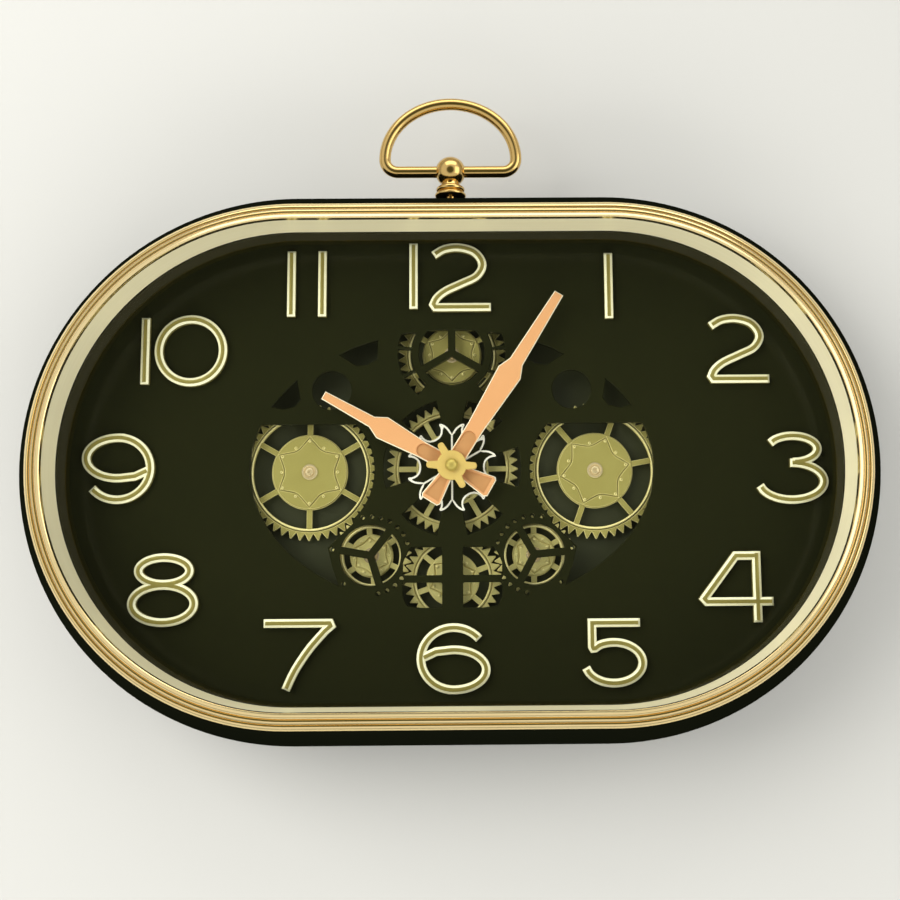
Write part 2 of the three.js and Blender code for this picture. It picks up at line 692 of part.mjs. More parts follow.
// The windows of one half of the dial: side is -1 on the left and 1 on the right.
function sideWindows(side, big, small, arms, low, high) {
  const mirrored = (points) => slab(polygon(points.map(([x, y]) => [side * x, y])), low, high);
  const wheel = rod(BIG_WINDOW_RADIUS, low, high, big.x, big.y, 26);
  const below = mirrored([[106, -6], [98, -32], [82, -52], [58, -66], [63, -52], [65.5, -42], [52, -29]]);
  const reach = 2 * SKELETON_HALF_WIDTH;
  const above = block(-reach, reach, BIG_WINDOW_TOP, reach, low, high);
  const ring = rod(SMALL_WINDOW_RADIUS, low, high, small.x, small.y, 18);
  const slots = TOOTH_WINDOW_ARCS.map(([from, to]) => {
    const turn = side > 0 ? [from, to] : [180 - to, 180 - from];
    return sector(TOOTH_WINDOW_INNER, TOOTH_WINDOW_OUTER, ...turn, topGear.x, topGear.y, low, high);
  });
  const left = side > 0 ? FOOT_PANE_IN : -FOOT_PANE_IN - FOOT_PANE_WIDTH;
  const round = rod(FOOT_WINDOW_RADIUS, low, high, bottomGear.x, bottomGear.y, 24);
  const panes = FOOT_PANE_ROWS.map(([bottom, top]) => (
    block(left, left + FOOT_PANE_WIDTH, bottomGear.y + bottom, bottomGear.y + top, low, high).intersect(round)
  ));
  return [
    cut(joined(wheel, below), above),
    cut(ring, ...barsAcross(small, arms, low, high)),
    rod(SHOULDER_WINDOW_RADIUS, low, high, side * SHOULDER_WINDOW_X, SHOULDER_WINDOW_Y, 14),
    mirrored([[97, 33.3], [91, 40.7], [82.6, 48], [80.7, 37], [83.5, 33.3], [89.8, 31.7]]),
    mirrored([[60, 61], [50, 66.5], [39.5, 69], [39.8, 58.7], [45, 55.8], [51, 55.1]]),
    ...slots,
    ...panes,
  ];
}

function skeletonWindows() {
  const low = dialBack - 1;
  const high = dialFront + 1;
  const oval = arc(0, 0, SKELETON_HALF_WIDTH, SKELETON_HALF_HEIGHT, 0, 360, 7.5).slice(1);
  const windows = [];
  for (let i = 0; i < SPOKES; i++) {
    const middle = i * 360 / SPOKES;
    const [from, to] = [middle - HUB_WINDOW_HALF_ANGLE, middle + HUB_WINDOW_HALF_ANGLE];
    windows.push(sector(HUB_WINDOW_INNER, HUB_WINDOW_OUTER, from, to, 0, 0, low, high));
  }
  windows.push(...sideWindows(-1, leftGear, lowerLeftGear, [170, 52, -73], low, high));
  windows.push(...sideWindows(1, rightGear, lowerRightGear, [120, 5, -118], low, high));
  const topRing = rod(TOP_WINDOW_RADIUS, low, high, topGear.x, topGear.y, 20);
  windows.push(cut(topRing, ...barsAcross(topGear, [90, 210, 330], low, high)));
  return joined(...windows).intersect(slab(polygon(oval), low, high));
}

function dialPlate() {
  const bosses = QUADRANTS.map(([sx, sy]) => {
    const [x, y] = [sx * BOSS_X, sy * BOSS_Y];
    return joined(
      rod(BOSS_RADIUS, plateFront + GAP, dialBack + 1, x, y, 8),
      rod(STAKE_RADIUS, plateBack - RIVET_HEIGHT, plateFront + 1, x, y, 8),
    );
  });
  return cut(
    joined(
      cut(ovalSlab(dialRadius, dialBack, dialFront), skeletonWindows()),
      rod(2 * NECK_RADIUS, hubTop + GAP, dialBack + 1),
      ...bosses,
    ),
    rod(NECK_RADIUS + GAP, hubTop, dialFront + 1),
  );
}

// Numerals: bars with leaning flanks, swept along the strokes of each digit

// A smooth line through a few points.
function flowing(points, steps) {
  const curve = new THREE.SplineCurve(points.map(([x, y]) => new THREE.Vector2(x, y)));
  return curve.getPoints(steps).map((point) => [point.x, point.y]);
}

function bar(points, closed = false) {
  const foot = STROKE / 2;
  const top = foot - NUMERAL_DRAFT;
  const profile = [[-foot, 0], [foot, 0], [top, NUMERAL_HEIGHT], [-top, NUMERAL_HEIGHT]];
  const route = points.map(([x, y]) => new THREE.Vector2(x, y));
  const count = route.length;
  const sides = profile.length;
  const positions = [];
  route.forEach((point, i) => {
    const before = route[closed ? (i + count - 1) % count : Math.max(i - 1, 0)];
    const after = route[closed ? (i + 1) % count : Math.min(i + 1, count - 1)];
    const arriving = point.clone().sub(before).normalize();
    const leaving = after.clone().sub(point).normalize();
    const along = arriving.clone().add(leaving).normalize();
    const straight = arriving.lengthSq() > 0 ? arriving : leaving;
    const mitre = 1 / along.dot(straight);
    for (const [offset, level] of profile) {
      positions.push(point.x - along.y * offset * mitre, point.y + along.x * offset * mitre, level);
    }
  });
  const index = [];
  for (let i = 0; i < (closed ? count : count - 1); i++) {
    const next = (i + 1) % count;
    for (let k = 0; k < sides; k++) {
      const over = (k + 1) % sides;
      const [a, b] = [i * sides + k, i * sides + over];
      const [c, d] = [next * sides + over, next * sides + k];
      index.push(a, b, c, a, c, d);
    }
  }
  if (!closed) {
    const end = (count - 1) * sides;
    index.push(0, 2, 1, 0, 3, 2, end, end + 1, end + 2, end, end + 2, end + 3);
  }
  return solid(meshOf(positions, index));
}

function loop(x, y, radiusX, radiusY) {
  return bar(arc(x, y, radiusX, radiusY, 0, 360).slice(1), true);
}

function six() {
  const bowl = [[-3, -16.9], ...arc(0.7, -6.1, 17.5, 10.9, -90, 95), [-9, 3.9], [-17.4, 0.6]];
  return joined(bar(arc(0, 0, 18.4, 17, 42, 270)), bar(bowl));
}

function two() {
  const curl = [[-14.5, 12.6], [-8.6, 16], [-0.5, 16.8], [8, 13.8], [12.5, 6.6], [9.6, -0.7], [1.2, -5.4],
    [-7.7, -9.5], [-12.4, -12.5], [-14.3, -14.9]];
  return bar([...flowing(curl, 16), [-13.6, -16.2], [16.1, -16.2]]);
}

function seven() {
  const leg = flowing([[12.6, 12.2], [4.7, 3.2], [-2.7, -7.8], [-7.4, -17.8]], 5);
  return bar([[-19.2, 16.2], [15, 16.2], [15.6, 14.8], ...leg]);
}

const DIGITS = {
  zero: () => loop(0, 0, 17.1, 17.1),
  one: () => bar([[0, -18], [0, 18]]),
  two,
  three: () => joined(
    bar([...arc(1.8, 9.9, 13.2, 7, 153, -90), [1.6, 2.9]]),
    bar([[0.2, 2.5], ...arc(0.7, -7.3, 17.2, 9.8, 90, -167)]),
  ),
  four: () => joined(
    bar([[10.8, 16.6], [0, 16.6], [-17, -5.6], [-15.6, -7.2], [19.1, -7.2]]),
    bar([[10.8, 16.6 + STROKE / 2], [10.8, -18]]),
  ),
  five: () => bar([[13, 16.4], [-12.8, 16.4], [-12.8, 3], [-12, 2], ...arc(0, -5.5, 15.5, 11, 126, -160)]),
  six,
  seven,
  eight: () => joined(loop(0, 9.5, 14, 6.9), loop(0, -7.6, 16.7, 9.6)),
  nine: () => six().rotate([0, 0, 180]),
};

// Name, digit, round end that it stands on, distance in from the edge of the face, angle there, shift in x.
const NUMERALS = [
  ['numeral_12_ten', 'one', 0, 19, 90, -20.3],
  ['numeral_12_unit', 'two', 0, 20.1, 90, 5.4],
  ['numeral_1', 'one', 1, 24.4, 87.1, 0],
  ['numeral_2', 'two', 1, 26.2, 40.4, 0],
  ['numeral_3', 'three', 1, 23.5, -0.9, 0],
  ['numeral_4', 'four', 1, 28.7, -43.4, 0],
  ['numeral_5', 'five', 1, 24.8, -88, 0],
  ['numeral_6', 'six', 0, 22.4, -90, 0.3],
  ['numeral_7', 'seven', -1, 24.8, -90.4, 0],
  ['numeral_8', 'eight', -1, 27.6, -41.6, 0],
  ['numeral_9', 'nine', -1, 25.6, 0, 0],
  ['numeral_10_ten', 'one', -1, 27.4, 41.7, -12.2],
  ['numeral_10_unit', 'zero', -1, 27.4, 41.7, 12.1],
  ['numeral_11_ten', 'one', -1, 22.9, 91.4, -8.3],
  ['numeral_11_unit', 'one', -1, 22.9, 91.4, 8.3],
];

// Rosette and hands

function rosette() {
  const half = [[0, 0], [13.2, 0.4], [12.4, 1], [20.5, 0.8]];
  const petal = [[-30, 0], ...half.slice(1).reverse().map(([degrees, share]) => [-degrees, share]), ...half];
  const points = [];
  for (let i = 0; i < 6; i++) {
    for (const [degrees, share] of petal) {
      const radius = ROSETTE_NOTCH + (ROSETTE_TIP - ROSETTE_NOTCH) * share;
      const angle = radians(60 * i + degrees);
      points.push([radius * Math.cos(angle), radius * Math.sin(angle)]);
    }
  }
  return cut(slab(polygon(points), 0, ROSETTE_THICK), rod(NECK_RADIUS + GAP, -1, ROSETTE_THICK + 1));
}

// A hand that points up from its hub: a slim stem, a shouldered blade with a sunk channel, and a flared tail.
function hand(bore, { length, tip, stem, shoulder, blade, root, tail, flare }) {
  const waist = 0.75 * root;
  const right = [
    [tip, length],
    [stem, shoulder + blade],
    [blade, shoulder],
    [root, shoulder / 2.4],
    [root, bore + 2 * HAND_COLLAR],
    [waist, bore + HAND_COLLAR],
    [waist, -bore - 1.5 * HAND_COLLAR],
    [flare, 0.3 * flare - tail],
    [0.8 * flare, -tail],
  ];
  const left = right.map(([x, y]) => [-x, y]).reverse();
  const groove = root - CHANNEL_EDGE;
  const collar = bore + HAND_COLLAR;
  return cut(
    joined(slab(polygon([...left, ...right]), 0, HAND_THICK), rod(collar, 0, HAND_THICK)),
    block(-groove, groove, bore + 2.5 * HAND_COLLAR, shoulder / 2.4, HAND_THICK / 2, HAND_THICK + 1),
    rod(bore, -1, HAND_THICK + 1),
  );
}

function handStar() {
  const half = STAR_NUB / 2;
  const end = 0.8 * half;
  const nub = [[STAR_RADIUS, -half], [STAR_REACH, -end], [STAR_REACH, end], [STAR_RADIUS, half]];
  const points = [];
  for (let i = 0; i < 6; i++) {
    const angle = radians(60 * i);
    for (const [x, y] of nub) {
      points.push([x * Math.cos(angle) - y * Math.sin(angle), x * Math.sin(angle) + y * Math.cos(angle)]);
    }
    const between = angle + Math.PI / 6;
    points.push([STAR_RADIUS * Math.cos(between), STAR_RADIUS * Math.sin(between)]);
  }
  return cut(slab(polygon(points), 0, STAR_THICK), rod(ARBOR_RADIUS + GAP, -1, STAR_THICK + 1));
}

function capNut() {
  return cut(
    turned([
      [0, 0],
      [CAP_RADIUS, 0],
      [CAP_RADIUS, 0.45 * CAP_HEIGHT],
      [0.75 * CAP_RADIUS, 0.85 * CAP_HEIGHT],
      [0, CAP_HEIGHT],
    ], 10),
    rod(ARBOR_RADIUS + GAP, -1, arborTop - capBack + GAP),
  );
}

function neckNut() {
  return cut(rod(NUT_RADIUS, 0, NUT_THICK, 0, 0, 6), rod(NECK_RADIUS + GAP, -1, NUT_THICK + 1));
}

function hourPipe() {
  return cut(rod(pipeOuter, pipeFoot, pipeTop), rod(pipeOuter - PIPE_WALL, pipeFoot - 1, pipeTop + 1));
}

// Drive units

// Box of a drive unit with clipped corners and a cell bay that is open to the rear.
function driveBox(bottom, top, cellHeight) {
  const half = driveSide / 2;
  const reach = CELL_LENGTH / 2 + CELL_PLAY;
  const outline = polygon([
    [DRIVE_CORNER - half, bottom],
    [half - DRIVE_CORNER, bottom],
    [half, bottom + DRIVE_CORNER],
    [half, top - DRIVE_CORNER],
    [half - DRIVE_CORNER, top],
    [DRIVE_CORNER - half, top],
    [-half, top - DRIVE_CORNER],
    [-half, bottom + DRIVE_CORNER],
  ]);
  return cut(
    slab(outline, driveBack, driveFront),
    block(-reach, reach, cellHeight - cellBay, cellHeight + cellBay, driveBack - 1, driveBack + 2 * cellBay),
  );
}

const clockCellHeight = DRIVE_WALL + cellBay - driveSide / 2;
const motorCellHeight = bottomGear.y - SHAFT_RADIUS - DRIVE_WALL - cellBay;
const motorBottom = motorCellHeight - cellBay - DRIVE_WALL;
const motorTop = bottomGear.y + MOTOR_ABOVE;

function movementCase() {
  const box = driveBox(-driveSide / 2, driveSide / 2, clockCellHeight);
  return cut(
    joined(box, rod(NECK_RADIUS, driveFront - 1, neckTop)),
    rod(pipeOuter + RUN, pipeFoot - GAP, neckTop + 1),
    rod(ARBOR_RADIUS + RUN, arborFoot - GAP, pipeFoot),
    rod(KNOB_STEM + RUN, driveBack - 1, driveBack + 3 * KNOB_STEM, -KNOB_PLACE, KNOB_PLACE, 8),
  );
}

// Knob about its own axis, from the back face of the movement.
function setKnob() {
  return turned([
    [0, -GAP - KNOB_HEIGHT],
    [0.92 * KNOB_RADIUS, -GAP - KNOB_HEIGHT],
    [KNOB_RADIUS, -GAP - 0.7 * KNOB_HEIGHT],
    [KNOB_RADIUS, -GAP],
    [KNOB_STEM, -GAP],
    [KNOB_STEM, 3 * KNOB_STEM - GAP],
    [0, 3 * KNOB_STEM - GAP],
  ], 12);
}

function gearMotor() {
  const box = driveBox(motorBottom, motorTop, motorCellHeight);
  return cut(box, rod(SHAFT_RADIUS + RUN, pipeFoot - GAP, driveFront + 1, bottomGear.x, bottomGear.y, 8));
}

// Shaft that the bottom gear is fixed to, from the plane of the gear's back face.
function motorShaft() {
  const head = GEAR_THICK + HUB_RISE + GAP;
  return turned([
    [0, pipeFoot - gearBack],
    [SHAFT_RADIUS, pipeFoot - gearBack],
    [SHAFT_RADIUS, head],
    [PIN_HEAD, head],
    [0.7 * PIN_HEAD, head + PIN_HEAD_HEIGHT],
    [0, head + PIN_HEAD_HEIGHT],
  ], 8);
}

// A round cell that lies along x, with its button to the right.
function cell() {
  const half = CELL_LENGTH / 2;
  const shoulder = half - CELL_BUTTON;
  const button = 0.4 * CELL_RADIUS;
  const profile = [
    [0, -half],
    [CELL_RADIUS, -half],
    [CELL_RADIUS, shoulder],
    [button, shoulder],
    [button, half],
    [0, half],
  ];
  const points = profile.map(([radius, along]) => new THREE.Vector2(radius, along));
  return solid(new THREE.LatheGeometry(points, 10).rotateZ(-Math.PI / 2));
}

// All pieces in their places

place('case_body', caseBody(), FINISH.blackGloss);
place('back_cover', backCover(), FINISH.blackSatin);
place('gold_bezel', goldBezel(), FINISH.gold);
const champagneWall = upright(FACE_RADIUS, linerOuter, glassFront + GAP, wallTop, WALL_DRAFT);
place('champagne_wall', champagneWall, FINISH.champagne);
place('front_glass', ovalSlab(spacerOuter, glassBack, glassFront), FINISH.glass);
const spacerFoot = FACE_RADIUS - SPACER_DRAFT;
const dialSpacer = upright(spacerFoot, spacerOuter, dialFront + GAP, glassBack - GAP, SPACER_DRAFT);
place('dial_spacer', dialSpacer, FINISH.blackGloss);
place('dial_plate', dialPlate(), FINISH.blackGloss);
place('hanger_plate', hangerPlate(), FINISH.steel);
coverScrewPlaces().forEach(([x, y], i) => {
  place(`cover_screw_${i + 1}`, screw(), FINISH.steel, x, y, COVER_RECESS - GAP);
});
hangerScrewPlaces().forEach(([x, y], i) => {
  const name = ['hanger_screw_left', 'hanger_screw_right'][i];
  place(name, screw(), FINISH.steel, x, y, COVER_RECESS - 2 * GAP - HANGER_THICK);
});
place('bow_post', bowPost(), FINISH.gold, 0, bodyOuter + BOW_LIFT, bowLevel);
place('bow_ring', bowRing(), FINISH.gold, 0, bodyOuter + BOW_LIFT, bowLevel);

for (const [name, digit, end, inset, angle, shift] of NUMERALS) {
  const [x, y] = endPoint(Math.sign(end), 1, FACE_RADIUS - inset, angle);
  place(name, DIGITS[digit](), FINISH.gold, x + shift, y, dialFront + GAP);
}

place('center_rosette', rosette(), FINISH.blackGloss, 0, 0, rosetteBack);
place('neck_nut', neckNut(), FINISH.brass, 0, 0, nutBack);
const hourHand = hand(pipeOuter + GAP, HOUR_HAND);
place('hour_hand', hourHand, FINISH.roseGold, 0, 0, hourBack, -radians(HOUR_ANGLE));
const minuteHand = hand(ARBOR_RADIUS + GAP, MINUTE_HAND);
place('minute_hand', minuteHand, FINISH.roseGold, 0, 0, minuteBack, -radians(MINUTE_ANGLE));
place('hand_star', handStar(), FINISH.creamGold, 0, 0, starBack, radians(90 - MINUTE_ANGLE));
place('cap_nut', capNut(), FINISH.brass, 0, 0, capBack);
place('hour_pipe', hourPipe(), FINISH.brass);
place('minute_arbor', rod(ARBOR_RADIUS, arborFoot, arborTop), FINISH.brass);
place('movement_case', movementCase(), FINISH.ivory);
place('set_knob', setKnob(), FINISH.blackSatin, -KNOB_PLACE, KNOB_PLACE, driveBack);
place('clock_cell', cell(), FINISH.cell, 0, clockCellHeight, driveBack + cellBay);

const pinBore = PIN_RADIUS + RUN;
const GEARS = [
  ['center_gear', centerGear, NECK_RADIUS + RUN, 0, 12],
  ['top_gear', topGear, pinBore, 30],
  ['bottom_gear', bottomGear, SHAFT_RADIUS + GAP, 20],
  ['lower_left_gear', lowerLeftGear, pinBore, 35],
  ['lower_right_gear', lowerRightGear, pinBore, 30],
  ['left_gear', leftGear, pinBore, 30],
  ['right_gear', rightGear, pinBore, 10],
];
for (const [name, gear, bore, spokes, boreSides] of GEARS) {
  place(name, spokedGear(gear, bore, spokes, boreSides), FINISH.oliveGold, gear.x, gear.y, gearBack);
}
const PINS = [
  ['top_post', topGear],
  ['lower_left_post', lowerLeftGear],
  ['lower_right_post', lowerRightGear],
  ['left_post', leftGear],
  ['right_post', rightGear],
];
for (const [name, gear] of PINS) {
  place(name, gearPin(), FINISH.brass, gear.x, gear.y, gearBack);
}
place('gear_plate', gearPlate(), FINISH.blackSatin);
place('gear_motor', gearMotor(), FINISH.ivory);
place('motor_shaft', motorShaft(), FINISH.brass, bottomGear.x, bottomGear.y, gearBack);
place('gear_cell', cell(), FINISH.cell, bottomGear.x, motorCellHeight, driveBack + cellBay);

const clock = new THREE.Group();
face.rotation.x = Math.PI / 2;
clock.add(face);

export default clock;
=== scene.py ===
"""Dresses the oval gear clock and lights it for its picture.

Pieces are modelled in the face frame, in millimetres: x to the right, y up and z from the wall towards the
viewer, with the origin on the wall behind the arbor of the hands. Wardrobe.upright stands each finished piece
in the row frame, in metres.
"""

import json
import logging
import math
from collections.abc import Callable, Iterator, Sequence
from contextlib import contextmanager
from dataclasses import dataclass
from enum import Enum

import bmesh
import bpy
from mathutils import Matrix, Vector


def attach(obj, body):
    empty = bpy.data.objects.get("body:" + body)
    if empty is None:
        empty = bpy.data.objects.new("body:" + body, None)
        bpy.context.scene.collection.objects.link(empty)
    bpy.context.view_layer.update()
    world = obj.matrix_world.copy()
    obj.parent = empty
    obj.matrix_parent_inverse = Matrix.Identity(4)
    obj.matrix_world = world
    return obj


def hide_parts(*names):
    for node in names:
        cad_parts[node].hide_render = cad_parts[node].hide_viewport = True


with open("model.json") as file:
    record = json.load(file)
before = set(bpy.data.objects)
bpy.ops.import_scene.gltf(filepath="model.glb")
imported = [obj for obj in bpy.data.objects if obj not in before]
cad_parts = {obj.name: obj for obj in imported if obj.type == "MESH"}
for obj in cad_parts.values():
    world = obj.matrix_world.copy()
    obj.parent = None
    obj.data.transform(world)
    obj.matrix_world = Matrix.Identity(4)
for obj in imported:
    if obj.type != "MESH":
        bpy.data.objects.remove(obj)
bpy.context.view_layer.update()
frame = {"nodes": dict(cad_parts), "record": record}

LOG = logging.getLogger("gear_clock")
KEPT_NODES = ("neck_nut", "hour_pipe", "minute_arbor")
FLAT_PIECES = ("back_cover", "hanger_plate", "movement_case", "gear_motor", "gear_plate", "dial_plate")
# Small gears that wear a paler gear colour as painted light
SMALL_GEARS = ("lower_left_gear", "lower_right_gear", "bottom_gear", "center_gear")

MM = 0.001
GAP = 0.3  # play between two pieces
DOUBLE = 0.0005  # points that are closer than this are merged
SMOOTH_ANGLE = 32.0  # edges that are sharper than this stay sharp
FLAT_ANGLE = 12.0  # the same on pieces with large flat faces
SLOPE = (0.25, 0.95)  # share of a sloping face's normal that points to the viewer; faces in this range carry the painted highlights
ROUND = 72  # facets round a gear
CURVE = 7.5  # degrees between two points on the curve of a digit
OVAL_STEP = 3.0  # degrees between two points on the round ends of a plate

Point = tuple[float, float]
Loop = list[Point]
Place = tuple[float, float, float]
Rgb = tuple[int, int, int]
Piece = bpy.types.Object


class Pick(Enum):
    """What a selection in edit mode is made of."""

    VERTS = "VERT"
    EDGES = "EDGE"
    FACES = "FACE"


class Side(Enum):
    """Half of the dial, with the sign of its x."""

    LEFT = -1
    RIGHT = 1


class Trade(Enum):
    """How a boolean tool acts on a piece."""

    CUT = "DIFFERENCE"
    FUSE = "UNION"


# Flat outlines


def polar(radius: float, degrees: float) -> Point:
    """Gives the place at a radius and an angle."""
    angle = math.radians(degrees)
    return (radius * math.cos(angle), radius * math.sin(angle))


def arc(
    x: float, y: float, radius_x: float, radius_y: float, start: float, end: float, step: float = 4.0
) -> Loop:
    """Lays points along an arc, both ends included.

    Args:
        x: Centre, to the right.
        y: Centre, up.
        radius_x: Half width.
        radius_y: Half height.
        start: First angle in degrees.
        end: Last angle in degrees.
        step: Largest angle between two points.

    Returns:
        The points in order.
    """
    count = max(1, math.ceil(abs(end - start) / step))
    angles = [math.radians(start + (end - start) * i / count) for i in range(count + 1)]
    return [(x + radius_x * math.cos(a), y + radius_y * math.sin(a)) for a in angles]


def ellipse(x: float, y: float, radius_x: float, radius_y: float, step: float) -> Loop:
    """Lays a closed ellipse of points, anticlockwise."""
    return arc(x, y, radius_x, radius_y, 0, 360, step)[:-1]


def circle(x: float, y: float, radius: float, sides: int = 32) -> Loop:
    """Lays a closed circle of points, anticlockwise."""
    return ellipse(x, y, radius, radius, 360 / sides)


def band(inner: float, outer: float, low: float, high: float) -> Loop:
    """Outlines a square section between two radii and two levels."""
    return [(inner, low), (outer, low), (outer, high), (inner, high)]


def sector(x: float, y: float, inner: float, outer: float, start: float, end: float) -> Loop:
    """Outlines part of a ring between two radii and two angles, anticlockwise."""
    return [*arc(x, y, outer, outer, start, end), *arc(x, y, inner, inner, end, start)]


def pie(x: float, y: float, radius: float, first: float, second: float, bar: float) -> Loop:
    """Outlines the window between two bars that run out from a centre.

    Args:
        x: Centre, to the right.
        y: Centre, up.
        radius: Radius of the window.
        first: Angle of the bar that it starts at, in degrees.
        second: Angle of the bar that it ends at, in degrees.
        bar: Width of the bars.

    Returns:
        The outline, anticlockwise.
    """
    lean = math.degrees(math.asin(bar / 2 / radius))
    right, up = polar(bar / 2 / math.sin(math.radians(second - first) / 2), (first + second) / 2)
    return [*arc(x, y, radius, radius, first + lean, second - lean), (x + right, y + up)]


def rounded_box(
    left: float, right: float, bottom: float, top: float, corner: float, step: float = 15.0
) -> Loop:
    """Outlines a rectangle with round corners.

    Args:
        left: Left side.
        right: Right side.
        bottom: Lower side.
        top: Upper side.
        corner: Radius of the corners.
        step: Largest angle between two points of a corner.

    Returns:
        The outline, anticlockwise.
    """
    spots = [(right, top, 1, 1), (left, top, -1, 1), (left, bottom, -1, -1), (right, bottom, 1, -1)]
    loop: Loop = []
    for i, (x, y, sx, sy) in enumerate(spots):
        loop += arc(x - sx * corner, y - sy * corner, corner, corner, 90 * i, 90 * (i + 1), step)
    return loop


def capsule(half: float, y: float, radius: float, step: float) -> Loop:
    """Outlines two round ends joined by straight runs, anticlockwise."""
    return [*arc(half, y, radius, radius, -90, 90, step), *arc(-half, y, radius, radius, 90, 270, step)]


def four(x: float, y: float) -> Loop:
    """Gives the same place in each quarter of the face."""
    return [(x, y), (-x, y), (-x, -y), (x, -y)]


def spun(points: Sequence[Point], degrees: float) -> Loop:
    """Turns points about the origin."""
    c, s = polar(1, degrees)
    return [(x * c - y * s, x * s + y * c) for x, y in points]


def flowing(points: Sequence[Point], steps: int) -> Loop:
    """Draws a smooth line through points.

    Args:
        points: Points that the line passes, ends included.
        steps: Number of pieces of the line.

    Returns:
        Points along the line, both ends included.
    """
    line: Loop = []
    last = len(points) - 1
    for i in range(steps + 1):
        place = last * i / steps
        k = min(int(place), last - 1)
        t = place - k
        a, b, c, d = (Vector(points[min(max(k + j, 0), last)]) for j in (-1, 0, 1, 2))
        bend = t * t * (a - 2.5 * b + 2 * c - d / 2) + t**3 * (1.5 * (b - c) + (d - a) / 2)
        line.append((b + t * (c - a) / 2 + bend).to_tuple())
    return line


def bead(start: Point, lift: Point, fall: Point, end: Point, steps: int) -> Loop:
    """Draws one roll of a moulding as a cubic curve.

    Args:
        start: First point.
        lift: Point that it leaves towards.
        fall: Point that it arrives from.
        end: Last point.
        steps: Number of pieces of the curve.

    Returns:
        Points along the curve, both ends included.
    """
    a, b, c, d = (Vector(p) for p in (start, lift, fall, end))
    roll: Loop = []
    for t in (i / steps for i in range(steps + 1)):
        spot = (1 - t) ** 3 * a + 3 * (1 - t) ** 2 * t * b + 3 * (1 - t) * t * t * c + t**3 * d
        roll.append(spot.to_tuple())
    return roll


def inside(point: Point, loop: Sequence[Point]) -> bool:
    """Tells whether a point lies inside an outline."""
    x, y = point
    within = False
    for (ax, ay), (bx, by) in zip(loop, [*loop[1:], loop[0]]):
        if (ay > y) != (by > y) and x < ax + (y - ay) * (bx - ax) / (by - ay):
            within = not within
    return within


def clipped(loop: Loop, fence: Sequence[Point]) -> Loop:
    """Keeps the part of an outline that lies inside a convex fence.

    Args:
        loop: Outline to cut.
        fence: Convex outline, anticlockwise.

    Returns:
        The cut outline, which is empty where nothing is left.
    """
    for (ax, ay), (bx, by) in zip(fence, [*fence[1:], fence[0]]):
        heights = [(bx - ax) * (y - ay) - (by - ay) * (x - ax) for x, y in loop]
        kept: Loop = []
        for i, (point, height) in enumerate(zip(loop, heights)):
            lower = heights[i - 1]
            if (height >= 0) != (lower >= 0):
                kept.append(Vector(loop[i - 1]).lerp(Vector(point), lower / (lower - height)).to_tuple())
            if height >= 0:
                kept.append(point)
        loop = kept
    return loop


def free_run(loop: Loop, other: Loop) -> Loop:
    """Gives the run of points of one outline that lies outside another."""
    free = [not inside(p, other) for p in loop]
    start = next(i for i in range(len(loop)) if free[i] and not free[i - 1])
    return [loop[i] for i in (*range(start, len(loop)), *range(start)) if free[i]]


def shrunk(loop: Sequence[Point], width: float) -> Loop:
    """Moves each point of an anticlockwise outline inwards by a width."""
    moved: Loop = []
    for i, point in enumerate(loop):
        along = Vector(loop[(i + 1) % len(loop)]) - Vector(loop[i - 1])
        moved.append((Vector(point) + Vector((-along.y, along.x)).normalized() * width).to_tuple())
    return moved


# Modelling


